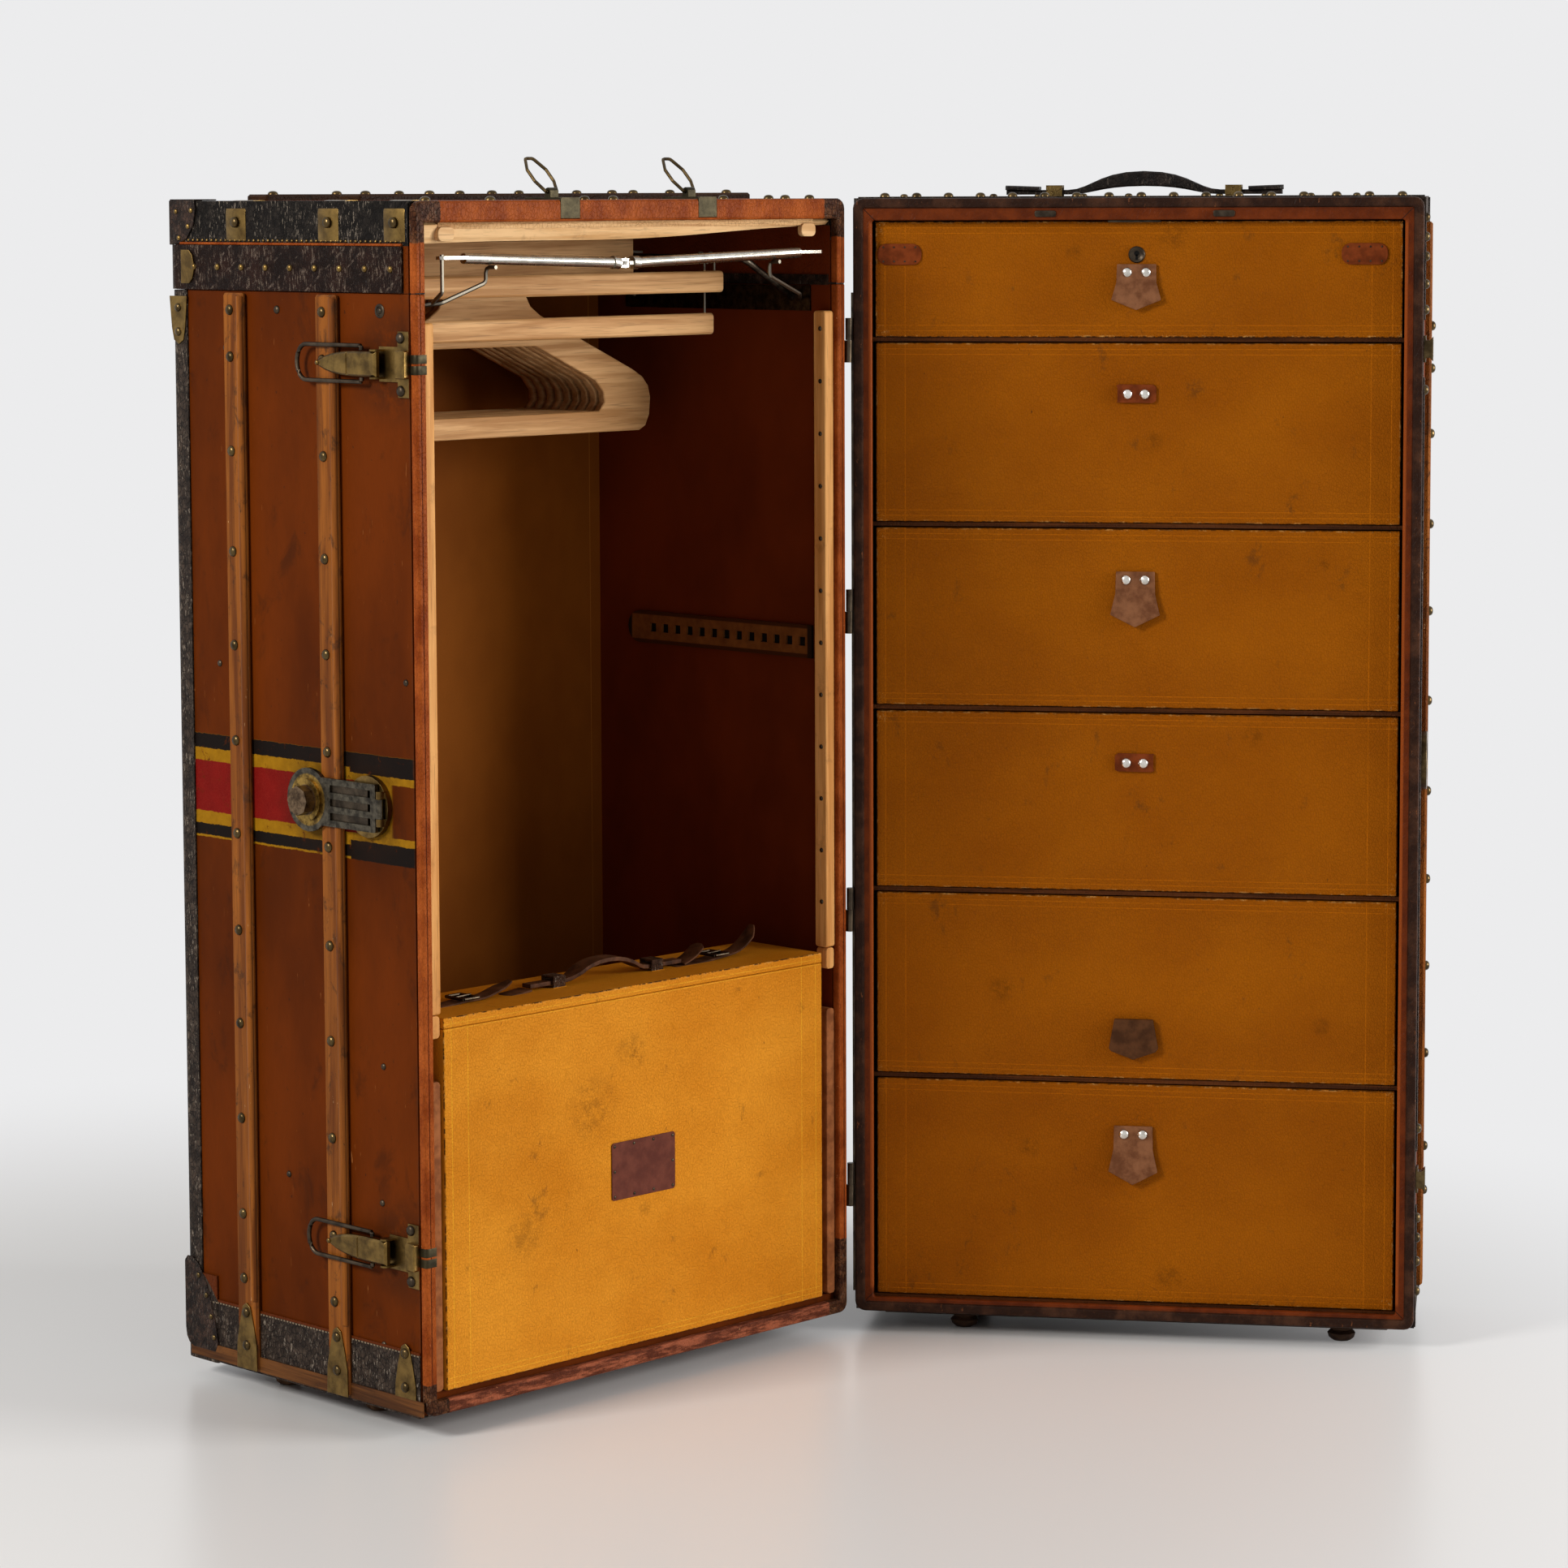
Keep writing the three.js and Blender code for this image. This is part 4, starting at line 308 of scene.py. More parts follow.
def slat_look(paint, along):
    """Varnished slat wood with dirt, knocks and pale scratches."""
    colour, grain = wood_look(paint, along, (92, 46, 12), (142, 82, 28), 11)
    colour = colour.lay(paint.noise(16, 6, 0.75, 0.5, 1.6).over(0.60, 0.12), (56, 34, 18), 0.7)
    colour = colour.lay(paint.noise(5.5, 3, 0.7, 0, 2.2).over(0.70, 0.05), (42, 26, 16), 0.7)
    chip = paint.noise(3.0, 3, 0.75, 0, 6).over(0.69, 0.03) * paint.noise(45, 2, 0.5).over(0.58, 0.06)
    paint.bump(grain, 0.15, 0.5)
    return colour.lay(chip, (214, 178, 134), 0.8)


def painted_band(paint, colour):
    """Two traditional travel stripes with a red field between, painted across the lock side."""
    x, y, z = paint.axes
    uneven = paint.noise(7, 5, 0.7).between(-1.6, 1.6)
    y, z = y + uneven, z + uneven
    near = y.under(101, 1.2)
    red = paint.mix(paint.noise(18, 4, 0.6), (90, 9, 7), (122, 20, 15))
    red = red.lay(paint.cells(2.6).under(0.05, 0.07), (160, 60, 44), 0.12)
    yellow = paint.mix(paint.noise(9, 4, 0.6), (112, 74, 6), (160, 114, 18))
    near_field = colour.lay(y.over(42, 5), yellow.lay(y.over(88, 1.5), red))
    band = yellow.lay(z.span(537, 586, 0.8), red.lay(near, near_field))
    thick = z.span(598, 612, 0.8) | z.span(514, 525, 0.8)
    thin = near * (z.span(593, 612, 0.8) | z.span(511, 530, 0.8))
    band = band.lay(thick | thin, (20, 14, 11))
    worn = paint.noise(13, 6, 0.78, 0.5).over(0.63, 0.07)
    here = x.under(LOCK_X + 0.5, 0.2) * z.span(512, 612, 0.8) * y.span(10, 334) * ~(worn * 0.85)
    return colour.lay(here, band)


def smudges(paint, colour):
    """Dark metal smudges round the two latches and the lock."""
    x, y, z = paint.axes
    spots = (((34, 972), 46), ((30, 150), 46), ((74, 560), 44), ((150, 560), 44))
    upper, lower, plate, boss = [paint.spot(y, z, place, radius, 46) for place, radius in spots]
    mask = (upper | lower | plate | boss) * x.under(LOCK_X + 0.5, 0.2)
    return colour.lay(mask * paint.noise(14, 5, 0.7).over(0.42, 0.3), (36, 20, 10), 0.55)


def wardrobe_shell_material():
    paint = Paint("wardrobe_board", WARDROBE)
    x, y, z = paint.axes
    colour, blotch = canvas_look(paint)
    colour = smudges(paint, painted_band(paint, colour))
    edge = (y + paint.noise(9).between(-4, 4)).over(10, 6)
    colour = colour.lay(~edge * x.under(LOCK_X + 0.5, 0.2), (78, 40, 20))
    lining, inside = lining_look(paint, NO_TOP)
    behind = y.over(WARDROBE_D + 0.5, 0.2)
    colour = colour.lay(inside, lining).lay(behind, slat_look(paint, 2))
    colour = colour.lay(behind * z.over(PART_Z - 31, 0.4), (52, 46, 40))
    paint.bump(paint.weave(1.3, y, z), 0.05, 0.35)
    paint.bump(blotch, 1.2, 0.3)
    return paint.done(colour, blotch.between(0.42, 0.62), gloss=0.035)


def lid_shell_material():
    paint = Paint("lid_board", WARDROBE)
    x, y, z = paint.axes
    colour, blotch = canvas_look(paint)
    sides = x.under(LOCK_X + EDGE_W, 0.6) | x.over(HINGE_X - EDGE_W, 0.6)
    rim = z.over(1079, 0.5) * (sides | y.over(WARDROBE_D - EDGE_W, 0.6) | y.under(24, 0.6))
    colour = colour.lay(rim, leather_look(paint, (17, 14, 12), (38, 33, 29), 4.0, 0.7))
    lining, inside = lining_look(paint, TRUNK_H - WALL - 14.5)
    batten = x.span(LOCK_IN + 23, HINGE_IN - 23, 0.3) * y.span(9, 41, 0.3) * z.span(1093, 1109, 0.3)
    pale, _ = wood_look(paint, 0, (176, 130, 82), (216, 174, 122), 8)
    colour = colour.lay(inside, lining).lay(batten, pale)
    colour = colour.lay(z.over(TRUNK_H + 0.5, 0.2), slat_look(paint, 0).lay(0.88, (30, 20, 13)))
    paint.bump(blotch, 1.0, 0.3)
    return paint.done(colour, blotch.between(0.3, 0.5), gloss=0.05)


def chest_shell_material():
    paint = Paint("chest_board", CHEST)
    x, y, z = paint.axes
    colour, blotch = canvas_look(paint)
    side = x.under(CHEST_X0 + EDGE_W, 0.6) | x.over(CHEST_X1 - EDGE_W, 0.6)
    rear = y.over(CHEST_D - EDGE_W, 0.6)
    level = z.over(TRUNK_H - EDGE_W, 0.6) | z.under(30, 0.6)
    front = y.under(26, 0.6)
    edges = side * rear | side * level | rear * level | front * side | front * level
    colour = colour.lay(edges, leather_look(paint, (36, 28, 23), (68, 56, 47), 5.0))
    inner = x.span(CHEST_X0 + 5, CHEST_X1 - 5, 0.3) * y.under(CHEST_D - BACK + 0.5, 0.3)
    dark, _ = wood_look(paint, 0, (52, 26, 10), (84, 44, 18), 8)
    colour = colour.lay(inner * z.span(10, TRUNK_H - 11, 0.3), dark)
    slats = y.over(CHEST_D + 0.5, 0.2) | x.over(CHEST_X1 + 0.5, 0.2)
    staple = z.over(TRUNK_H + 0.5, 0.2)
    old_brass = paint.mix(paint.noise(7, 4, 0.7), (44, 34, 20), (132, 108, 62))
    colour = colour.lay(slats, slat_look(paint, 2)).lay(staple, old_brass)
    paint.bump(blotch, 1.2, 0.3)
    return paint.done(colour, blotch.between(0.42, 0.62), staple * 0.9, 0.05)


def drawer_cloth_material(name, half, low, high, tones, marks, trim_z=NO_TOP):
    """Glazed cloth over board, with two scored lines along each edge, frayed corners and dirt.

    low is the front's lowest corner as the half's x, y and z, and high is its highest one.
    What stands above trim_z is leather.
    """
    paint = Paint(name, half)
    x, y, z = paint.axes
    dark, light = tones
    blotch = paint.noise(130, 5, 0.55, 0, (1.4, 1, 1))
    cloth = (paint.noise(0.9, 2, 0.6, 0, (6, 1, 1)) + paint.noise(0.9, 2, 0.6, 0, 6)) * 0.5
    colour = blotch.tones(dark, light, 0.5).lay(cloth.between(0, 0.5), shade(dark, 0.62))
    to_side = (x - low[0]).least(high[0] - x)
    to_level = (z - low[2]).least(high[2] - z)
    border = to_side.least(to_level)
    front = y.under(low[1] + 1.2, 0.4)
    side_lines = to_side.span(9.0, 10.0, 0.6) | to_side.span(29.0, 30.0, 0.8)
    lines = front * (side_lines | to_level.span(5.6, 6.4, 0.5) | to_level.span(11.0, 11.8, 0.5))
    colour = colour.lay(lines * paint.noise(30, 3, 0.6).between(0, 0.5), shade(light, 1.3))
    fray = front * border.under(1.5, 1.6) * paint.noise(9, 6, 0.8, 0.5).over(0.56, 0.12)
    corner = to_side.under(11, 9) * to_level.under(11, 9)
    torn = front * corner * paint.noise(5, 6, 0.8, 0.8).over(0.6, 0.06)
    colour = colour.lay(fray | torn, (200, 152, 84), 0.6)
    edge_dark = front * border.under(0.9, 1.4)
    colour = colour.lay(edge_dark * paint.noise(6, 4, 0.7).over(0.5, 0.1), (60, 34, 12))
    grime = paint.noise(34, 6, 0.75, 0.4, 1.4).over(0.66, 0.12)
    fleck = paint.noise(5.5, 3, 0.7, 0, 2).over(0.745, 0.03)
    colour = colour.lay(grime, (70, 44, 18), 0.45).lay(fleck, (48, 30, 14), 0.6)
    for place, radius in marks:
        spot = paint.spot(x, z, place, radius, radius) * paint.noise(8, 6, 0.8).over(0.5, 0.2)
        colour = colour.lay(spot, shade(dark, 0.55), 0.4)
    colour = colour.lay(z.over(trim_z, 0.3), leather_look(paint, (50, 30, 18), (88, 58, 38), 2.4))
    paint.bump(cloth, 0.10, 0.6)
    paint.bump(~lines, 0.3, 0.5)
    return paint.done(colour, blotch.between(0.46, 0.6), gloss=0.045)


def rim_material():
    """Glazed orange fibre edge with two beads, rubbed spots, and leather at its corners."""
    paint = Paint("orange_rim", WARDROBE)
    x, y, z = paint.axes
    blotch = paint.noise(26, 5, 0.65, 0, 1.6)
    colour = blotch.tones((116, 48, 14), (160, 80, 32))
    colour = colour.lay(paint.noise(3, 4, 0.7, 0, 8).over(0.6, 0.12), (84, 32, 12), 0.3)
    groove = x.span(LOCK_X + 4.6, LOCK_X + 5.6, 0.5) | x.span(HINGE_X - 5.6, HINGE_X - 4.6, 0.5)
    groove = groove * y.under(3.0, 0.5)
    sill_tone = paint.noise(7, 5, 0.75, 0, (6, 1, 1)).tones((84, 42, 28), (150, 84, 58), 0.2, 0.52)
    colour = colour.lay(groove, (66, 24, 12), 0.85).lay(z.under(15), sill_tone)
    from_left, from_right = x - LOCK_X, HINGE_X - x
    uneven = paint.noise(12, 4, 0.7).between(-3, 3)
    height = z + uneven
    top_corner = height.over(TRUNK_H - 38, 1.2) * (from_left.least(from_right) + uneven).under(30, 1.2)
    low_right = height.under(76, 1.2) * from_right.under(27, 1.2)
    low_left = height.under(30, 1.2) * from_left.under(26, 1.2)
    leather = leather_look(paint, (58, 32, 20), (104, 66, 42), 3.2, 0.25)
    colour = colour.lay(top_corner | low_right | low_left, leather)
    colour = colour.lay(paint.noise(4.5, 4, 0.75, 0, 1.6).over(0.70, 0.03), (226, 164, 112), 0.7)
    paint.bump(~groove, 0.8, 0.8)
    return paint.done(colour, blotch.between(0.28, 0.42), gloss=0.03)


def ring_material():
    """Front ring of the drawer half: dark outer bead and red-brown inner rim, with a painted highlight in
    orange along the inner edge of its sides.
    """
    paint = Paint("front_ring", CHEST)
    x, _, z = paint.axes
    to_side = (x - CHEST_X0).least(CHEST_X1 - x)
    to_level = z.least(TRUNK_H - z)
    border = to_side.least(to_level)
    blotch = paint.noise(24, 5, 0.65)
    dark = blotch.tones((38, 21, 13), (68, 42, 28), 0.3, 0.55)
    dark = dark.lay(paint.noise(5, 5, 0.75, 0, 3).over(0.66, 0.06), (140, 84, 50), 0.6)
    # Painted highlight: an orange line along the inner edge of the ring's sides, where light catches it.
    edge = (border - blotch.between(-0.8, 0.8)).over(15.6, 1.4)
    red = blotch.tones((78, 30, 7), (108, 46, 13)).lay(edge * to_level.over(24, 6), (140, 66, 22))
    mitre = abs(to_side - to_level).under(0.5, 0.6) * border.over(10, 0.5)
    colour = dark.lay(border.over(10.2, 0.8), red).lay(mitre, (28, 14, 8))
    paint.bump(~paint.cells(4.0).under(0.05, 0.06), 0.25, 0.6)
    return paint.done(colour, blotch.between(0.3, 0.46), gloss=0.07)


def lid_band_material():
    """Glossy dark red-brown leather with pale diagonal streaks."""
    paint = Paint("lid_band_leather", WARDROBE)
    _, y, z = paint.axes
    blotch = paint.noise(30, 5, 0.65)
    colour = blotch.tones((20, 9, 5), (38, 20, 13), 0.3, 0.52)
    wave = paint.math("SINE", (y * 0.7 + z) * 0.32)
    streak = wave.over(0.93, 0.1) * paint.noise(9, 5, 0.75).over(0.55, 0.1)
    dry = paint.noise(1.7, 3, 0.7, 0.3, 4.5).over(0.58, 0.06) * blotch.over(0.48, 0.16)
    colour = colour.lay(streak, (120, 104, 92), 0.5).lay(dry, (122, 106, 92), 0.6)
    crack = paint.cells(2.4).under(0.06, 0.07)
    colour = colour.lay(crack, (18, 8, 6), 0.5)
    paint.bump(~crack, 0.3, 0.8)
    paint.bump(blotch, 1.4, 0.5)
    return paint.done(colour, blotch.between(0.2, 0.38), gloss=0.06)


def binding_material(name, half):
    """Dark grey-brown leather edge. The hanging half's is stitched, and has bare board round its base cap."""
    paint = Paint(name, half)
    x, y, z = paint.axes
    colour = leather_look(paint, (36, 28, 23), (68, 56, 47), 4.6, 0.75)
    if half is WARDROBE:
        from_rear = WARDROBE_D - y
        limit = paint.math("POWER", paint.math("DIVIDE", from_rear, 49.0), 2.2) * 34.0
        board = (z + limit).over(92) * from_rear.over(25.2, 0.3) * z.over(57.6, 0.3)
        colour = colour.lay(board * x.under(LOCK_X + 30, 0.3), (84, 34, 3))
        step = paint.math("FRACT", (x + y) * (1 / 4.4))
        stitch = z.span(STITCH_Z - 1.1, STITCH_Z + 0.4, 0.3) * step.under(0.6, 0.1)
        colour = colour.lay(stitch, (138, 120, 98), 0.8)
        paint.bump(stitch, 0.6)
    return paint.done(colour, 0.5, gloss=0.08)


def wood_material(name, half, along, dark, light, rough=0.48):
    paint = Paint(name, half)
    colour, grain = wood_look(paint, along, dark, light)
    worn = paint.noise(22, 5, 0.7).over(0.62, 0.14)
    paint.bump(grain, 0.1, 0.5)
    return paint.done(colour.lay(worn, shade(dark, 0.6), 0.3), rough)


def slat_material():
    paint = Paint("slat_wood_upright", WARDROBE)
    return paint.done(slat_look(paint, 2), 0.36, gloss=0.08)


def leather_material(name, half, dark, light, size):
    paint = Paint(name, half)
    return paint.done(leather_look(paint, dark, light, size, 0.3), 0.42)


def calf_material(name, half, dark, light):
    """Smooth tanned leather with soft blotches and a fine grain."""
    paint = Paint(name, half)
    grain = paint.noise(1.2, 3, 0.7, 0, 1.6)
    colour = paint.noise(13, 5, 0.6).tones(dark, light, 0.35)
    paint.bump(grain, 0.12, 0.5)
    return paint.done(colour.lay(grain.between(0, 0.3), shade(dark, 0.7)), 0.5, gloss=0.07)


def metal_material(name, half, dark, light, smooth=0.28, rough=0.5, metallic=1.0):
    """Metal with tarnish in its hollows and a fine scratched bump."""
    paint = Paint(name, half)
    blotch = paint.noise(15, 5, 0.6, 0.3)
    pit = paint.noise(1.8, 4, 0.7).over(0.60, 0.14)
    colour = blotch.tones(dark, light, 0.5).lay(pit, shade(dark, 0.5), 0.22)
    paint.bump(~pit, 0.06, 0.4)
    return paint.done(colour, blotch.between(rough, smooth), metallic)


def hasp_material():
    """The hasp: dark steel plate, with a brass ring round a domed bronze boss."""
    paint = Paint("hasp_metals", WARDROBE)
    _, y, z = paint.axes
    blotch = paint.noise(8, 6, 0.7)
    tones = (((44, 40, 34), (92, 85, 72)), ((78, 58, 24), (160, 128, 62)), ((64, 48, 34), (120, 98, 74)))
    plate, brass, bronze = [blotch.tones(dark, light, 0.3) for dark, light in tones]
    ring, boss = [paint.spot(y, z, (149.5, LOCK_Z), *size) for size in ((24.5, 1.5), (14.4, 0.6))]
    return paint.done(plate.lay(ring, brass).lay(boss, bronze), blotch.between(0.46, 0.28), 1.0)


def hanger_material(name, is_hanger):
    """Pale beech, with steel tongues on a hanger or wires on a trouser bar where the wood ends."""
    paint = Paint(name, WARDROBE)
    x, _, z = paint.axes
    colour, grain = wood_look(paint, 0, (170, 122, 74), (212, 166, 114), 10)
    from_mid = abs(x - (MID_X - 18))
    if is_hanger:
        metal = from_mid.over(200.5, 0.4) * z.over(1064, 0.4)
    else:
        metal = from_mid.over(222.3, 0.4) | ~(z.span(1027.5, 1049.5, 0.2) | z.span(985.5, 1007.5, 0.2))
    paint.bump(grain, 0.1, 0.4)
    return paint.done(colour.lay(metal, (104, 97, 86)), 0.5, metal)


def rail_material():
    paint = Paint("side_rail_brown", WARDROBE)
    _, y, z = paint.axes
    colour = paint.noise(14, 5, 0.7).tones((92, 52, 22), (122, 72, 32), 0.5)
    colour = colour.lay(z.under(666) | z.over(691.5), (60, 30, 12))
    return paint.done(colour.lay(y.under(40, 2) | y.over(294, 2), (34, 22, 14)), 0.45, gloss=0.08)


def runner_material():
    """Dark iron band and rails, with pale plated hooks in front."""
    paint = Paint("runner_iron", WARDROBE)
    x, y, _ = paint.axes
    iron = paint.noise(9, 5, 0.7).tones((40, 34, 28), (82, 72, 60), 0.3)
    hook = y.under(34) | y.under(50) * x.span(LOCK_IN + 3, HINGE_IN - 3, 0.5)
    return paint.done(iron.lay(hook, (112, 106, 94)), 0.36, 1.0)


def make_materials():
    """Every finish by its look's name. Each row gives the look and what its function takes."""
    looks = {
        "wardrobe_shell": wardrobe_shell_material(),
        "lid_shell": lid_shell_material(),
        "chest_shell": chest_shell_material(),
        "rim": rim_material(),
        "ring": ring_material(),
        "lid_band": lid_band_material(),
        "binding": binding_material("base_binding", WARDROBE),
        "chest_edge": binding_material("chest_edge_leather", CHEST),
        "slat": slat_material(),
        "hanger": hanger_material("hanger_beech", True),
        "trouser_bar": hanger_material("trouser_bar_beech", False),
        "rail": rail_material(),
        "runner": runner_material(),
        "hasp": hasp_material(),
        "cap": leather_material("corner_cap_leather", WARDROBE, (26, 17, 13), (64, 46, 37), 3.4),
        "handle": leather_material("handle_leather", CHEST, (24, 20, 18), (54, 45, 40), 2.6),
    }
    woods = (
        ("batten", "batten_wood", WARDROBE, 0, (70, 46, 30), (112, 82, 58), 0.6),
        ("base_wood", "base_strip_wood", WARDROBE, 1, (62, 34, 14), (108, 66, 30), 0.45),
        ("chest_batten", "chest_batten_wood", CHEST, 0, (40, 26, 18), (74, 52, 38), 0.6),
        ("strip", "strip_wood", WARDROBE, 2, (190, 128, 66), (222, 164, 98)),
        ("pale_board", "pale_board", WARDROBE, 0, (196, 150, 98), (228, 188, 138)),
    )
    calf = (
        ("pull", "pull_leather", CHEST, (100, 60, 36), (136, 90, 60)),
        ("back_pull", "pull_leather_back", CHEST, (62, 36, 18), (88, 54, 30)),
        ("pad", "pad_leather", CHEST, (92, 38, 10), (128, 58, 22)),
        ("strap", "case_strap_leather", WARDROBE, (52, 30, 18), (96, 60, 38)),
        ("guide", "guide_leather", WARDROBE, (118, 66, 34), (158, 96, 54)),
        ("label", "label_leather", WARDROBE, (86, 42, 32), (106, 56, 42)),
    )
    metals = (
        ("brass", "aged_brass", WARDROBE, (78, 60, 32), (138, 110, 60), 0.24, 0.4),
        ("bronze", "dark_bronze", WARDROBE, (46, 36, 22), (98, 80, 50), 0.2, 0.36),
        ("chest_brass", "aged_brass_chest", CHEST, (44, 34, 22), (104, 86, 56), 0.2, 0.38),
        ("iron", "oiled_iron", WARDROBE, (38, 32, 26), (84, 72, 58)),
        ("chest_iron", "oiled_iron_chest", CHEST, (36, 30, 25), (76, 66, 54)),
        ("nickel", "worn_nickel", WARDROBE, (150, 145, 134), (198, 192, 180), 0.2, 0.34),
        ("chest_nickel", "worn_nickel_chest", CHEST, (186, 180, 170), (232, 228, 220), 0.14, 0.3),
        ("steel", "grey_steel", WARDROBE, (34, 30, 20), (62, 55, 38), 0.34, 0.5, 0.7),
        # Painted shade: a very dark matt finish for the keyhole and for the hollow behind the side rail's
        # holes.
        ("black", "black_recess", CHEST, (6, 5, 4), (12, 10, 8), 0.6, 0.8, 0.0),
    )
    for make, rows in ((wood_material, woods), (calf_material, calf), (metal_material, metals)):
        for look, *facts in rows:
            looks[look] = make(*facts)
    return looks


LOOKS = make_materials()
LOOKS_OF_SLOT = {
    "brass": ("brass", "bronze", "chest_brass", "steel"),
    "iron": ("iron", "chest_iron", "black"),
    "nickel": ("chest_nickel",),
    "dark_leather": ("cap", "handle", "chest_edge"),
    "tan_leather": ("guide", "strap", "label", "pad", "back_pull"),
    "pale_wood": ("pale_board", "strip"),
    "slat_wood": ("slat", "base_wood"),
    "orange_edge": ("rim",),
}
SLOTS = {look: slot for slot, looks in LOOKS_OF_SLOT.items() for look in looks}


# Frame pieces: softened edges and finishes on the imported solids

def smoothing(name, degrees):
    """A modifier group that smooths faces and keeps edges over an angle sharp."""
    group = bpy.data.node_groups.new(name, "GeometryNodeTree")
    for way in ("INPUT", "OUTPUT"):
        group.interface.new_socket("Geometry", in_out=way, socket_type="NodeSocketGeometry")
    start, end, faces, edges, angle, sharp = [group.nodes.new(kind) for kind in (
        "NodeGroupInput", "NodeGroupOutput", "GeometryNodeSetShadeSmooth", "GeometryNodeSetShadeSmooth",
        "GeometryNodeInputMeshEdgeAngle", "FunctionNodeCompare",
    )]
    faces.domain, edges.domain = "FACE", "EDGE"
    faces.inputs["Shade Smooth"].default_value = True
    edges.inputs["Shade Smooth"].default_value = False
    sharp.operation = "GREATER_THAN"
    sharp.inputs[1].default_value = math.radians(degrees)
    group.links.new(angle.outputs["Unsigned Angle"], sharp.inputs[0])
    group.links.new(sharp.outputs[0], edges.inputs["Selection"])
    group.links.new(start.outputs[0], faces.inputs["Geometry"])
    group.links.new(faces.outputs[0], edges.inputs["Geometry"])
    group.links.new(edges.outputs[0], end.inputs[0])
    return group


SMOOTH = smoothing("smooth_faces", 50)


def weld(piece):
    piece.modifiers.new("weld", "WELD").merge_threshold = 0.02 * MM


def bevel(piece, edge, steps, degrees):
    soft = piece.modifiers.new("edges", "BEVEL")
    soft.width = edge * MM
    soft.segments = steps
    soft.limit_method = "ANGLE"
    soft.angle_limit = math.radians(degrees)


def dress(node, look, edge=0.0, steps=2):
    """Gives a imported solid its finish, with softened edges where a width in millimetres is given."""
    piece = NODES[node]
    piece.data.materials.clear()
    piece.data.materials.append(look)
    weld(piece)
    if edge:
        flat = piece.modifiers.new("flat", "DECIMATE")
        flat.decimate_type = "DISSOLVE"
        flat.angle_limit = math.radians(0.5)
        bevel(piece, edge, steps, 35)
    piece.modifiers.new("smooth", "NODES").node_group = SMOOTH
    piece.modifiers.new("even", "WEIGHTED_NORMAL").keep_sharp = True


# Look, width of the softened edges, and nodes
FINISHES = (
    ("wardrobe_shell", 1.2, "wardrobe_carcass"),
    ("lid_shell", 1.2, "lid_shell"),
    ("chest_shell", 1.2, "drawer_carcass"),
    ("rim", 0.8, "wardrobe_rim lid_rim"),
    ("ring", 0.8, "drawer_binding"),
    ("binding", 0, "wardrobe_binding"),
    ("lid_band", 0, "lid_band"),
    ("slat", 0.8, "slat_lock_front slat_lock_rear"),
    ("batten", 0, "wardrobe_batten_front wardrobe_batten_rear"),
    ("chest_batten", 0, "drawer_batten_front drawer_batten_rear"),
    ("strip", 0.8, "strip_lock strip_hinge"),
    ("hanger", 0.8, "hanger_1 hanger_2 hanger_3 hanger_4 hanger_5"),
    ("trouser_bar", 0, "trouser_hanger_upper trouser_hanger_lower"),
    ("brass", 0.5, "latch_base_upper latch_base_lower lock_base"),
    ("brass", 0.8, "latch_lever_upper latch_lever_lower"),
    ("iron", 0, "latch_bail_upper latch_bail_lower hinge_strip_wardrobe lid_hinge_lid"),
    ("chest_brass", 0.5, "catch_upper catch_lower lock_strike"),
    ("steel", 0.4, "clip_base_left clip_base_right"),
    ("bronze", 0, "clip_bail_left clip_bail_right"),
    ("hasp", 0.6, "lock_hasp"),
    ("rail", 0.5, "side_rail"),
    ("runner", 0, "runner_lock runner_hinge"),
    ("nickel", 0, "rod_lock_half rod_hinge_half"),
    ("chest_iron", 0, "hinge_strip_drawers"),
    ("handle", 0.5, "handle_top"),
    ("strap", 0.5, "case_handle"),
    ("pull", 0.6, "pull_1 pull_3 pull_5 pull_6"),
)


def dress_frame():
    for look, edge, nodes in FINISHES:
        for node in nodes.split():
            dress(node, LOOKS[look], edge)


def local_spots(node, half):
    """A node's vertices in a half's own millimetres."""
    back = half.matrix.inverted()
    return [back @ v.co for v in NODES[node].data.vertices]


def local_box(node, half):
    """A node's lowest and highest corners in a half's own millimetres."""
    spots = local_spots(node, half)
    return [tuple(pick(p[i] for p in spots) for i in range(3)) for pick in (min, max)]


# Place across and up, and radius, of each dirty spot on a drawer's front and on the case's
DRAWER_MARKS = {
    1: [((222, 1066), 7), ((320, 1085), 14)], 2: [((300, 880), 9)], 3: [((470, 760), 5)],
    4: [((400, 590), 10)], 5: [((150, 330), 12), ((470, 300), 8)], 6: [((320, 40), 12), ((180, 170), 9)],
}
CASE_MARKS = [
    ((-292, 300), 9), ((-283, 152), 7), ((-440, 150), 20), ((-300, 310), 16), ((-350, 260), 26),
]


def dress_boxes():
    """Drawers and the case, each with scored lines that follow its own front."""
    drawer_tones, case_tones = ((146, 76, 1), (166, 92, 4)), ((206, 124, 20), (232, 152, 40))
    for number, marks in DRAWER_MARKS.items():
        node = f"drawer_{number}"
        low, high = local_box(node, CHEST)
        look = drawer_cloth_material(f"drawer_cloth_{number}", CHEST, low, high, drawer_tones, marks)
        dress(node, look, 1.6, 3)
    low, high = local_box("case_body", WARDROBE)
    top = local_box("case_lid", WARDROBE)[0][2] + 10
    high = (high[0], high[1], top)
    look = drawer_cloth_material("case_cloth", WARDROBE, low, high, case_tones, CASE_MARKS, top + 0.5)
    dress("case_body", look, 1.6, 3)
    dress("case_lid", look, 1.6, 3)


# Mesh making

def round_turns(steps):
    return [2 * math.pi * i / steps for i in range(steps)]


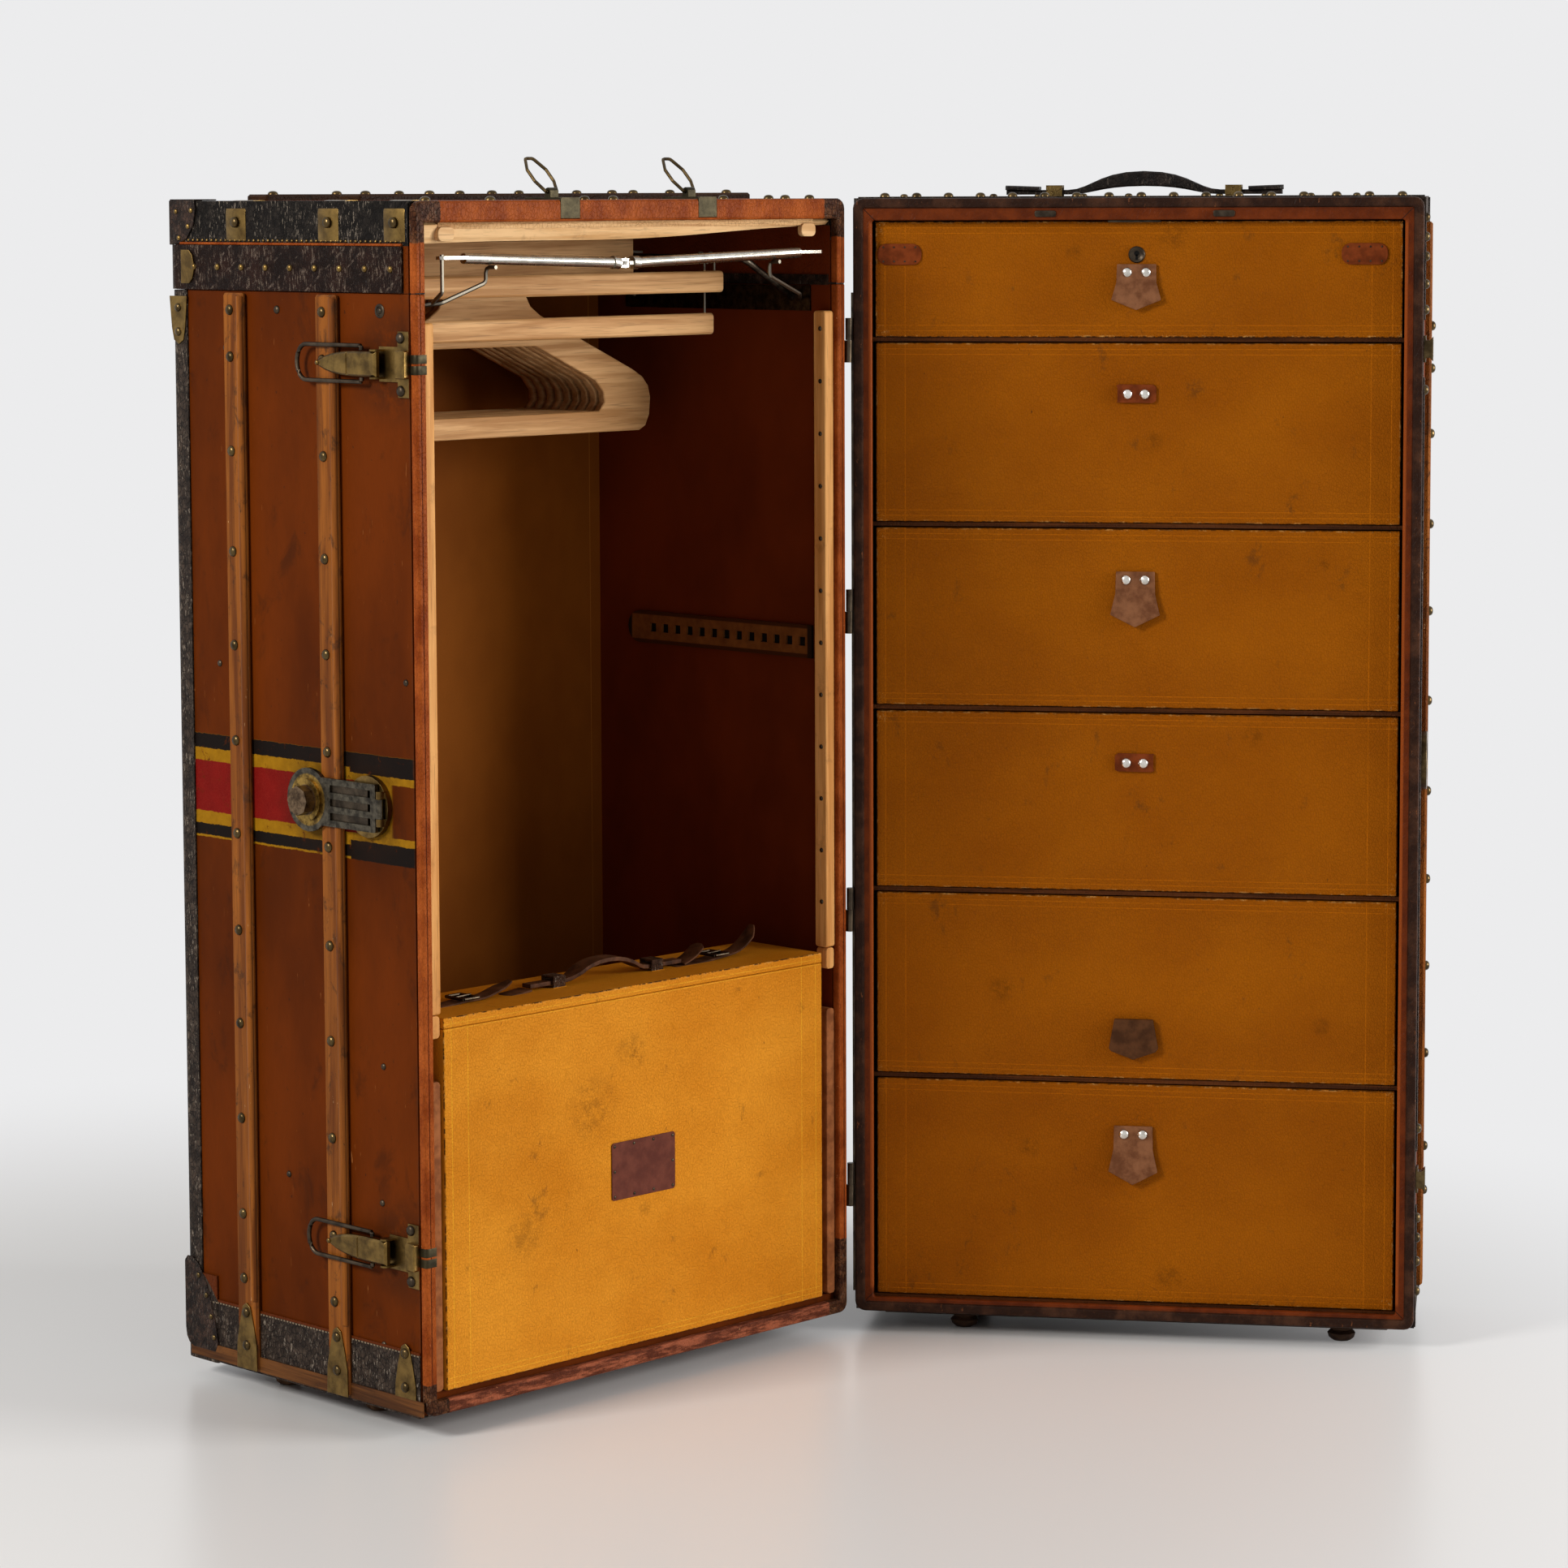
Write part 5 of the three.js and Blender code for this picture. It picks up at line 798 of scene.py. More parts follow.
class Shape:
    """Gathers solids in a half's own millimetres and makes one object of them."""

    def __init__(self):
        self.mesh = bmesh.new()

    def rings(self, rings):
        """Joins rings of points, each with the same count, by faces, and closes both ends."""
        made = [[self.mesh.verts.new(p) for p in ring] for ring in rings]
        for first, second in zip(made, made[1:]):
            for i in range(len(first)):
                j = (i + 1) % len(first)
                self.mesh.faces.new((first[i], first[j], second[j], second[i]))
        self.mesh.faces.new(list(reversed(made[0])))
        self.mesh.faces.new(made[-1])

    def plate(self, outline, origin, across, up, depth):
        """A plate with a flat outline, depth thick to the side that across x up points to."""
        out = across.cross(up)
        flat = [Vector(origin) + across * u + up * v for u, v in outline]
        self.rings([flat, [p + out * depth for p in flat]])

    def block(self, low, high):
        (x0, y0, z0), (x1, y1, z1) = low, high
        ring = [(x0, y0), (x1, y0), (x1, y1), (x0, y1)]
        self.rings([[(x, y, z) for x, y in ring] for z in (z0, z1)])

    def turned(self, foot, axis, profile, steps=12):
        """A lathe shape on a foot point, from pairs of radius and height along the axis."""
        side = axis.orthogonal().normalized()
        other = axis.cross(side)
        self.rings([[
            Vector(foot) + axis * height + (side * math.cos(t) + other * math.sin(t)) * max(radius, 0.02)
            for t in round_turns(steps)
        ] for radius, height in profile])

    def dome(self, foot, axis, radius, height, steps=12):
        """A nail head with a slightly spread foot."""
        share_pairs = ((0.93, 0.42), (0.72, 0.76), (0.4, 0.95), (0, 1))
        profile = [(radius, -0.6), (radius, 0.1)] + [(radius * u, height * v) for u, v in share_pairs]
        self.turned(foot, axis, profile, steps)

    def swept(self, path, section):
        """Sweeps rings along a path: section(place, tangent, share) gives each ring's points."""
        last = len(path) - 1
        self.rings([
            section(place, (path[min(i + 1, last)] - path[max(i - 1, 0)]).normalized(), i / last)
            for i, place in enumerate(path)
        ])

    def strap(self, path, across, width, thickness, ends=(1.0, 1.0)):
        """A flat strap along a path, with thin rounded edges; ends narrow it at its two ends."""

        def section(place, tangent, share):
            out = across.cross(tangent).normalized()
            end, near = (ends[0], share) if share < 0.5 else (ends[1], 1 - share)
            half = width / 2 * (end + (1 - end) * min(1, near * 6))
            edge = min(thickness * 0.5, half * 0.4)
            shape = [(-half, 0.15), (-half + edge, 0), (half - edge, 0), (half, 0.15),
                     (half, 0.75), (half - edge, 1), (-half + edge, 1), (-half, 0.75)]
            return [place + across * u + out * thickness * v for u, v in shape]

        self.swept(path, section)

    def wire(self, path, radius, sides=8):
        """A round wire along a path."""

        def section(place, tangent, share):
            side = tangent.cross(UP if abs(tangent.z) < 0.9 else RIGHT).normalized()
            other = tangent.cross(side)
            return [place + (side * math.cos(t) + other * math.sin(t)) * radius for t in round_turns(sides)]

        self.swept(path, section)

    def make(self, name, body, look, edge=0.0):
        bmesh.ops.recalc_face_normals(self.mesh, faces=self.mesh.faces)
        self.mesh.transform(half_of(body).matrix)
        data = bpy.data.meshes.new(name)
        self.mesh.to_mesh(data)
        self.mesh.free()
        data.materials.append(LOOKS[look])
        piece = bpy.data.objects.new(name, data)
        bpy.context.scene.collection.objects.link(piece)
        for polygon in data.polygons:
            polygon.use_smooth = True
        data.set_sharp_from_angle(angle=math.radians(42))
        if edge:
            bevel(piece, edge, 2, 40)
            piece.modifiers.new("even", "WEIGHTED_NORMAL")
        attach(piece, body)
        return piece


def evenly(low, high, count):
    return [low + (high - low) * i / (count - 1) for i in range(count)]


def rounded(x0, x1, y0, y1, radius, steps=5):
    """Outline of a rectangle with round corners."""
    corners = [(x1 - radius, y0 + radius, -90), (x1 - radius, y1 - radius, 0),
               (x0 + radius, y1 - radius, 90), (x0 + radius, y0 + radius, 180)]
    return [
        (cx + radius * math.cos(math.radians(turn)), cy + radius * math.sin(math.radians(turn)))
        for cx, cy, start in corners for turn in evenly(start, start + 90, steps + 1)
    ]


def mirrored(side):
    """An outline from its right side, whose last point is on the middle line."""
    return side + [(-u, v) for u, v in reversed(side[:-1])]


def curve(points, steps=6):
    """A smooth path through points."""
    points = [Vector(p) for p in points]
    path = []
    for i in range(len(points) - 1):
        before, first = points[max(i - 1, 0)], points[i]
        second, after = points[i + 1], points[min(i + 2, len(points) - 1)]
        for k in range(steps):
            t = k / steps
            path.append(0.5 * (
                2 * first + (second - before) * t
                + (2 * before - 5 * first + 4 * second - after) * t ** 2
                + (3 * first - before - 3 * second + after) * t ** 3
            ))
    return path + [points[-1]]


def nails(name, body, look, places, axis, radius=4.0, height=2.3):
    shape = Shape()
    for place in places:
        shape.dome(place, axis, radius, height)
    return shape.make(name, body, look)


# Lock side of the hanging half

LOCK_NAILS = (1018, 974, 885, 790, 701, 610, 521, 428, 338, 246, 153, 90)
PANEL_RIVETS = ((50.6, 1020), (275, 982), (291, 681), (20, 682), (58, 322), (62, 193), (62, 59), (198, 200))
EYELET = (50.6, 1020)
SLAT_FACE = LOCK_X - SLAT_T
CLAMP_Y = 29


def slat_beads():
    """The rounded bead along the front third of each slat on the lock side."""
    for name, y in zip(("front", "rear"), LOCK_SLATS):
        shape = Shape()
        section = [(y - 14.6 + 4.4 * (1 - math.cos(t)), 2.6 * math.sin(t)) for t in evenly(0, math.pi, 9)]
        levels = (70, 400, 720, 1031)
        shape.rings([[(SLAT_FACE + 0.2 - out, across, z) for across, out in section] for z in levels])
        shape.make(f"slat_bead_{name}", "wardrobe", "slat")


def lock_side_nails():
    places = [(SLAT_FACE, y + 4, z) for y in LOCK_SLATS for z in LOCK_NAILS]
    nails("lock_slat_nails", "wardrobe", "bronze", places, LEFT, 5.2, 3.0)
    nails("lock_panel_rivets", "wardrobe", "iron", [(LOCK_X, y, z) for y, z in PANEL_RIVETS], LEFT, 3.2, 1.8)
    nails("lock_panel_stud", "wardrobe", "iron", [(LOCK_X, 198, 1019)], LEFT, 4.0, 2.4)
    shape = Shape()
    shape.turned((LOCK_X, *EYELET), LEFT, [(6.6, -0.3), (6.6, 0.5), (5.8, 1.1), (4.2, 1.1), (3.8, 0.4)], 20)
    shape.make("lock_panel_eyelet", "wardrobe", "iron")


def latch_trim():
    bend = curve([(LOCK_X - 0.6, 8.6, 0), (LOCK_X - 0.7, 3.0, 0), (LOCK_X + 1.2, 0.1, 0),
                  (LOCK_X + 7, -0.1, 0), (LOCK_X + 11.8, -0.1, 0)], 4)
    for place, z in LATCHES:
        rivets = [(LOCK_X - 2.1, 20, z + side * 24) for side in SIDES]
        nails(f"latch_rivets_{place}", "wardrobe", "iron", rivets, LEFT, 5.2, 3.0)
        shape = Shape()
        for side in SIDES:
            shape.strap([Vector((p.x, p.y, z + side * 5.0)) for p in bend], UP, 8.0, 0.5)
        shape.make(f"latch_edge_clip_{place}", "wardrobe", "steel")
        pin = [(LOCK_X - 14.0, 124, z)]
        nails(f"latch_pin_{place}", f"latch_{place}_lever", "brass", pin, LEFT, 2.4, 1.6)


def latch_bails():
    """Round wire bails with a half-round end."""
    pivot, reach, half_w, bend, x = 66, 92, 16.5, 13, LOCK_X - 9.5
    end = pivot + reach - bend
    leg = [(pivot, half_w - 4), (pivot, half_w - 1.2), (pivot + 1.2, half_w)]
    leg += [(y, half_w) for y in evenly(pivot + 8, end - 4, 4)]
    arc = [(end + bend * math.cos(t), half_w * math.sin(t)) for t in evenly(-math.pi / 2, math.pi / 2, 13)]
    route = [(y, -w) for y, w in leg] + arc + leg[::-1]
    for place, z in LATCHES:
        shape = Shape()
        shape.wire([Vector((x, y, z + w)) for y, w in route], 2.1, 12)
        piece = shape.make(f"latch_wire_{place}", f"latch_{place}_bail", "iron")
        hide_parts(f"latch_bail_{place}")


def hasp_backing():
    """The floor of the hasp's three slots, inside the plate's thickness."""
    spots = local_spots("lock_hasp", WARDROBE)
    plate_x = max([p.x for p in spots if 54 < p.y < 119 and abs(p.z - LOCK_Z) < 24], default=LOCK_X - 7)
    shape = Shape()
    shape.block((plate_x - 1.7, 66, LOCK_Z - 20), (plate_x - 0.5, 119, LOCK_Z + 20))
    shape.make("hasp_slot_floor", "lock_hasp", "iron")


def clamps():
    """Brass clamps that hold the slats at the base, drawn in to a round top, and over the lid's edge."""
    foot, rivets = Shape(), []
    share_pairs = ((1, 1.5), (0.96, 26), (0.72, 44), (0.5, 56), (0.36, 63), (0, 66.5))
    outline = mirrored([(15 * share, height) for share, height in share_pairs])
    for y, face in [(y, SLAT_FACE - 0.1) for y in LOCK_SLATS] + [(CLAMP_Y, LOCK_X - 1.9)]:
        foot.plate(outline, (face, y, 0), FRONT, UP, 1.5)
        rivets += [(face - 1.5, y, z) for z in (25, 57)]
    foot.make("foot_clamps", "wardrobe", "brass", 0.5)
    nails("foot_clamp_rivets", "wardrobe", "bronze", rivets, LEFT, 5.0, 2.8)
    top, heads = Shape(), []
    for y in (*LOCK_SLATS, CLAMP_Y):
        top.strap(curve([
            (LOCK_X - 0.4, y, 1083), (LOCK_X - 0.5, y, 1098), (LOCK_X - 0.5, y, 1110),
            (LOCK_X + 2.4, y, 1118.4), (LOCK_X + 10, y, TRUNK_H + 0.5), (LOCK_X + 24, y, TRUNK_H + 0.5),
        ], 5), REAR, 29, 1.7)
        heads.append((LOCK_X - 2.1, y, 1100))
    top.make("lid_clamps", "lid", "brass")
    nails("lid_clamp_rivets", "lid", "bronze", heads, LEFT, 5.2, 2.8)


def lid_band_trim():
    face = LOCK_X - LID_BAND_T
    side = [(face, y, LID_BAND_Z) for y in evenly(32, 318, 9)]
    nails("lid_band_nails", "lid", "brass", side, LEFT, 3.4, 2.2)
    rear = [(x, WARDROBE_D + LID_BAND_T, LID_BAND_Z) for x in evenly(LOCK_X + 16, LOCK_X + 76, 3)]
    nails("lid_band_rear_nails", "lid", "brass", rear, REAR, 3.4, 2.2)
    nails("lid_edge_tacks", "lid", "brass", [(LOCK_X, y, 1083) for y in evenly(20, 336, 46)], LEFT, 1.5, 1.1)
    shape = Shape()
    shape.wire([Vector((LOCK_X - 1.2, y, 1080)) for y in evenly(18, 340, 12)], 1.3)
    shape.make("lid_band_piping", "lid", "rim")
    shape = Shape()
    outline = [(-12, -16), (0, -16), (0, 16), (-12, 16), (-17, 11), (-20, 0), (-17, -11)]
    shape.plate(outline, (face - 0.2, 336, LID_BAND_Z), REAR, DOWN, 1.4)
    shape.make("lid_band_plate", "lid", "brass", 0.5)


def corner_caps():
    """Leather caps on the lid's and the base's rear corners, a brass edge plate, and their tacks."""
    shape = Shape()
    side = [(0, 0), (38, 0), (40, 8), (36, 24), (26, 36), (14, 41), (0, 42)]
    shape.plate(side, (LOCK_X - 0.2, WARDROBE_D + 0.6, TRUNK_H + 0.4), FRONT, DOWN, -1.4)
    shape.plate(side, (LOCK_X - 0.6, WARDROBE_D + 0.2, TRUNK_H + 0.4), RIGHT, DOWN, -1.4)
    shape.plate(side, (LOCK_X - 0.6, WARDROBE_D + 0.6, TRUNK_H + 0.2), FRONT, RIGHT, 1.4)
    shape.make("lid_rear_cap", "lid", "cap", 0.6)
    spots = [(LOCK_X - 1.6, WARDROBE_D - u, TRUNK_H - v) for u, v in ((33, 9), (28, 24), (14, 35), (10, 10))]
    nails("lid_cap_tacks", "lid", "brass", spots, LEFT, 2.6, 1.6)
    shape = Shape()
    outline = [(12, 8), (46, 8), (50, 16), (47, 34), (41, 54), (33, 74), (22, 90), (12, 97), (4, 97), (0, 92),
               (0, 26), (1.5, 17), (5.5, 11)]
    shape.plate(outline, (LOCK_X - 2.2, WARDROBE_D, 0), FRONT, UP, 1.7)
    shape.make("base_rear_cap", "wardrobe", "cap", 0.7)
    base = [(LOCK_X - 3.9, y, z) for y, z in ((312, 22), (316, 42), (323, 62), (335, 80))]
    nails("base_cap_tacks", "wardrobe", "bronze", base, LEFT, 3.0, 1.8)
    shape = Shape()
    outline = mirrored([(13, 0), (10, 30), (7, 42), (0, 46)])
    shape.plate(outline, (LOCK_X - 1.9, WARDROBE_D - 13, 1030), FRONT, DOWN, -1.3)
    shape.make("rear_edge_plate", "wardrobe", "brass", 0.5)
    rivets = [(LOCK_X - 3.2, WARDROBE_D - 13, z) for z in (1019, 996)]
    nails("rear_plate_rivets", "wardrobe", "bronze", rivets, LEFT, 4.2, 2.4)


def base_strip():
    """The wooden strip under the leather edge at the base of the lock side."""
    shape = Shape()
    shape.block((LOCK_X - 3.6, 4, 0.2), (LOCK_X - 1.7, 348, 15))
    shape.make("base_strip", "wardrobe", "base_wood", 0.6)


# Front edge and inside of the hanging half

def strip_tacks():
    shape = Shape()
    for x, y, first_z, last_z in ((HINGE_IN - 13, 11.5, 420, 1010), (HINGE_IN, 30.5, 400, 1020)):
        for z in range(first_z, last_z, 52):
            shape.dome((x, y, z), LEFT, 2.4, 1.4, 10)
    shape.make("hinge_wall_tacks", "wardrobe", "iron")


def lid_lining_board():
    """The pale board under the lid's front edge, with its rough paper edge and round batten ends."""
    rng = random.Random(5)
    shape = Shape()
    x0, x1, z1 = LOCK_IN + 1, HINGE_IN - 1, TRUNK_H - 20.2
    rings = []
    for x in evenly(x0, x1, 70):
        share = (x - x0) / (x1 - x0)
        low = z1 - 19 + 13 * share ** 2 + 1.2 * math.sin(share * 9)
        lift = rng.uniform(-0.7, 0.9)
        rough = (x, 10.4 + lift * 0.4, z1 - 2.6 + lift)
        rings.append([rough, (x, 13.4, z1), (x, 17.6, low + 1), (x, 15.6, low)])
    shape.rings(rings)
    shape.make("lid_lining_edge", "lid", "pale_board")
    ends = Shape()
    for x in (LOCK_IN + 22, HINGE_IN - 42):
        ends.plate(rounded(x, x + 20, TRUNK_H - 37, TRUNK_H - 24, 5), (0, 14, 0), RIGHT, UP, 6)
    ends.make("lid_batten_ends", "lid", "pale_board", 1.0)


def lid_lip():
    """A dark leather lip that closes the joint between the lid and the walls from inside."""
    shape = Shape()
    low, high = PART_Z - 1.2, PART_Z + 9
    shape.block((HINGE_IN - 1.3, 12, low), (HINGE_IN - 0.2, BACK_IN - 2, high))
    shape.block((LOCK_IN + 0.2, 12, low), (LOCK_IN + 1.3, BACK_IN - 2, high))
    shape.block((LOCK_IN + 3, BACK_IN - 1.3, low), (HINGE_IN - 3, BACK_IN - 0.2, high))
    for x0, x1 in ((LOCK_X + 1.2, LOCK_IN), (HINGE_IN, HINGE_X - 1.2)):
        shape.block((x0, 1.6, PART_Z - 0.3), (x1, 14, PART_Z + 1.6))
    shape.make("lid_lip", "lid", "cap")


def case_guides():
    """Worn strips beside the case, below the side strips, and the short pieces that end those strips."""
    worn, short = Shape(), Shape()
    for x0, x1 in ((LOCK_IN + 0.6, LOCK_IN + 12), (HINGE_IN - 12, HINGE_IN - 0.6)):
        worn.plate(rounded(x0, x1, 20.6, 312, 4), (0, 20, 0), RIGHT, UP, 14)
        short.plate(rounded(x0, x1, 352, 373.4, 4), (0, 20, 0), RIGHT, UP, 14)
    worn.make("case_guides", "wardrobe", "guide", 1.2)
    short.make("strip_ends", "wardrobe", "strip", 1.0)


def rail_backing():
    """A very dark block behind the side rail's holes: painted shade of the hollow there."""
    shape = Shape()
    shape.block((HINGE_IN - 0.9, 40, 669), (HINGE_IN - 0.1, 294, 688))
    shape.make("rail_hollow_shade", "wardrobe", "black")


def rear_hangers():
    """The hangers behind the five that move."""
    pitch = 13
    behind = WARDROBE.matrix.to_3x3() @ REAR
    for step in range(1, 5):
        data = NODES["hanger_5"].data.copy()
        data.transform(Matrix.Translation(behind * pitch * step))
        piece = bpy.data.objects.new(f"rear_hanger_{step}", data)
        bpy.context.scene.collection.objects.link(piece)
        weld(piece)
        piece.modifiers.new("smooth", "NODES").node_group = SMOOTH
        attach(piece, "wardrobe")


# Case

CASE_TOP, CASE_FRONT, CASE_MID_Y = 370.3, 4, 56.5
CASE_STRAPS = {
    "left": ((-534, 0), (-500, 0.4), (-470, 2.5), (-446, 3), (-425, 8), (-408, 13)),
    "right": ((-196, 0), (-165, 0.5), (-135, 3), (-110, 6), (-92, 16), (-84, 28)),
}


def case_straps():
    """Two straps that come over the rear edge, through a buckle, with tips that curl up."""
    y, top = CASE_MID_Y, CASE_TOP + 0.4
    for name, points in CASE_STRAPS.items():
        strap = Shape()
        strap.strap(curve([(x, y, top + lift) for x, lift in points]), REAR, 17, 2.6, (1.0, 0.35))
        strap.make(f"case_strap_{name}", "case_lid", "strap")
    for name, x, lift in (("left", -468, 4.4), ("right", -138, 5.4)):
        buckle = Shape()
        corners = [Vector((x + u, y + v, top + lift)) for u, v in ((-9, -13), (9, -13), (9, 13), (-9, 13))]
        for corner, after in zip(corners, corners[1:] + corners[:1]):
            buckle.wire([corner, after], 1.6)
        buckle.wire([Vector((x - 8, y, top + lift + 0.6)), Vector((x + 10, y, top + lift + 1.2))], 1.2)
        buckle.make(f"case_buckle_{name}", "case_lid", "iron")


def case_label():
    """A bare leather label with tacks round its edge."""
    shape = Shape()
    x0, x1, z0, z1 = -327, -243, 165, 221
    inset = 3.5
    shape.plate(rounded(x0, x1, z0, z1, 3), (0, CASE_FRONT - 0.1, 0), RIGHT, UP, 1.1)
    shape.make("case_label", "case", "label", 0.4)
    spots = [(x, z) for x in evenly(x0 + inset, x1 - inset, 4) for z in (z0 + inset, z1 - inset)]
    spots += [(x, (z0 + z1) / 2) for x in (x0 + inset, x1 - inset)]
    nails("case_label_tacks", "case", "iron", [(x, CASE_FRONT - 1.2, z) for x, z in spots], FRONT, 1.6, 0.8)


def case_handle_ends():
    """Pointed leather ends of the case's handle."""
    shape = Shape()
    low, high = local_box("case_handle", WARDROBE)
    left = [(low[0] - 1.2 + u, lift) for u, lift in ((-30, 0), (-14, 1), (0, 2.4))]
    right = [(high[0] + 1.2 + u, lift) for u, lift in ((0, 2.4), (15, 8), (29, 18))]
    for points, ends in ((left, (0.4, 1.0)), (right, (1.0, 0.4))):
        path = curve([(x, CASE_MID_Y, CASE_TOP + 0.3 + lift) for x, lift in points])
        shape.strap(path, REAR, 19, 2.4, ends)
    shape.make("case_handle_tips", "case_lid", "strap")


# Drawer half

DRAWER_FACE = 14
KEYHOLE_Z = 1064


def pull_rivets():
    """Rivets of the pulls, and the riveted stubs of the two that are torn off."""
    for number in (1, 3, 6):
        low, high = local_box(f"pull_{number}", CHEST)
        places = [(CHEST_MID + side * 9.3, low[1] + 4.4, high[2] - 8.2) for side in SIDES]
        nails(f"pull_rivets_{number}", f"drawer_{number}", "chest_nickel", places, FRONT, 5.4, 3.4)
    for number, z in ((2, 927), (4, 561)):
        shape = Shape()
        outline = rounded(CHEST_MID - 19, CHEST_MID + 19, z - 9, z + 9, 2.4)
        ragged = [(u + 0.8 * math.sin(v * 1.9), v + 0.7 * math.sin(u * 0.9)) for u, v in outline]
        shape.plate(ragged, (0, DRAWER_FACE - 0.2, 0), RIGHT, UP, 2.6)
        shape.make(f"pull_stub_{number}", f"drawer_{number}", "pad", 0.5)
        places = [(CHEST_MID + side * 8.5, DRAWER_FACE - 2.8, z) for side in SIDES]
        nails(f"stub_rivets_{number}", f"drawer_{number}", "chest_nickel", places, FRONT, 5.4, 3.2)


def top_drawer_trim():
    shape = Shape()
    profile = [(8.2, 0), (8.2, 0.8), (7.4, 1.5), (5.6, 1.2), (5.0, 0.6), (3.4, 0.5)]
    shape.turned((CHEST_MID, DRAWER_FACE - 0.1, KEYHOLE_Z), FRONT, profile, 28)
    shape.make("keyhole_plate", "drawer_1", "chest_iron")
    # The keyhole is a thin very dark plate on the front: painted shade where the hole is.
    hole = Shape()
    circle = [(2.6 * math.sin(t), 1.2 + 2.6 * math.cos(t)) for t in round_turns(16)]
    for outline in (circle, [(-1.2, -5), (1.2, -5), (1.0, 0), (-1.0, 0)]):
        hole.plate(outline, (CHEST_MID, DRAWER_FACE - 0.75, KEYHOLE_Z), RIGHT, UP, 0.2)
    hole.make("keyhole", "drawer_1", "black")
    for name, x0, x1 in (("left", 27, 71), ("right", 484, 529)):
        pad = Shape()
        pad.plate(rounded(x0, x1, 1054, 1075, 9), (0, DRAWER_FACE - 0.1, 0), RIGHT, UP, 1.8)
        pad.make(f"leather_pad_{name}", "drawer_1", "pad", 0.6)
        tacks = [(x, DRAWER_FACE - 1.9, z) for x in evenly(x0 + 6, x1 - 6, 4) for z in (1057.5, 1071.5)]
        nails(f"pad_tacks_{name}", "drawer_1", "chest_iron", tacks, FRONT, 1.0, 0.7)
    # A dark iron bar along the top of the first drawer's front: painted shade of the gap over the lock bolt.
    bolt = Shape()
    low = (CHEST_MID - 28, DRAWER_FACE - 6, TRUNK_H - 24.4)
    bolt.block(low, (CHEST_MID + 24, DRAWER_FACE - 1, TRUNK_H - 22.2))
    bolt.make("bolt_gap_shade_plate", "chest", "chest_iron", 0.3)
    for name, x in (("left", 195), ("right", 370)):
        plate = Shape()
        plate.plate(rounded(x - 10.5, x + 10.5, TRUNK_H - 19, TRUNK_H - 12.6, 2), (0, 2.9, 0), RIGHT, UP, 1.2)
        plate.make(f"catch_plate_{name}", "chest", "chest_iron", 0.4)


def handle_tips():
    """Stitched end tabs of the top handle, raised on their padding."""
    low, high = local_box("handle_top", CHEST)
    shape = Shape()
    mid_y = (low[1] + high[1]) / 2
    for side, across in zip(SIDES, (FRONT, REAR)):
        end = CHEST_MID + side * ((high[0] - low[0]) / 2 + 1)
        path = [(end - side * u, mid_y, low[2] + v) for u, v in ((0, 4.6), (8, 4.4), (24, 3.8), (34, 3.4))]
        shape.strap(curve(path), across, 24, 4.6, (0.7, 1.0))
    shape.make("handle_tips", "handle_top", "handle")


def pull_shield():
    """The pull of the fifth drawer, which hangs back to front."""
    low, high = local_box("pull_5", CHEST)
    wide = (high[0] - low[0]) / 2
    shape = Shape()
    outline = mirrored([(wide * 0.78, high[2]), (wide, low[2] + 11), (wide * 0.9, low[2] + 8), (0, low[2])])
    shape.plate(outline, (CHEST_MID, high[1], 0), RIGHT, UP, high[1] - low[1])
    piece = shape.make("pull_5_shield", "drawer_5", "back_pull", 0.6)
    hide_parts("pull_5")


EDGE_T = 1.3
CHEST_SLAT_NAILS = (992, 950, 885, 795, 708, 618, 527, 438, 350, 261, 166, 121)
CHEST_EDGE_NAILS = (1100, 1081, 1062, 1035, 1010, 932, 200, 110, 90, 66, 36)


def chest_edges():
    """Leather edge strips of the drawer half with their nails."""
    shape = Shape()
    for x0, x1 in ((CHEST_X0 - 0.4, CHEST_X0 + 24), (CHEST_X1 - 24, CHEST_X1 + 0.4)):
        shape.block((x0, CHEST_D, 1), (x1, CHEST_D + EDGE_T, TRUNK_H - 1))
    shape.block((CHEST_X1, CHEST_D - 24, 1), (CHEST_X1 + EDGE_T, CHEST_D + 0.4, TRUNK_H - 1))
    for z0, z1 in ((1, 122), (178, 944), (1000, TRUNK_H - 1)):
        shape.block((CHEST_X1, 10.6, z0), (CHEST_X1 + EDGE_T, 26, z1))
    for y0, y1 in ((CHEST_D - 24, CHEST_D + 0.4), (10.6, 26)):
        shape.block((CHEST_X0 + 4, y0, TRUNK_H), (CHEST_X1 - 4, y1, TRUNK_H + EDGE_T))
    shape.make("chest_edge_strips", "chest", "chest_edge", 0.5)
    top = [(x, 17, TRUNK_H + EDGE_T) for x in evenly(34, 542, 17)]
    rear = [(x, CHEST_D - 12, TRUNK_H + EDGE_T) for x in evenly(30, 538, 12)]
    slat = [(CHEST_X1 + SLAT_T, CHEST_D / 2, z) for z in CHEST_SLAT_NAILS]
    edge = [(CHEST_X1 + EDGE_T, 19, z) for z in CHEST_EDGE_NAILS]
    nails("chest_top_nails", "chest", "chest_brass", top, UP, 5.0, 4.0)
    nails("chest_rear_nails", "chest", "chest_brass", rear, UP, 4.0, 2.6)
    nails("chest_slat_nails", "chest", "chest_brass", slat, RIGHT, 5.0, 4.0)
    nails("chest_edge_nails", "chest", "chest_brass", edge, RIGHT, 5.0, 4.0)


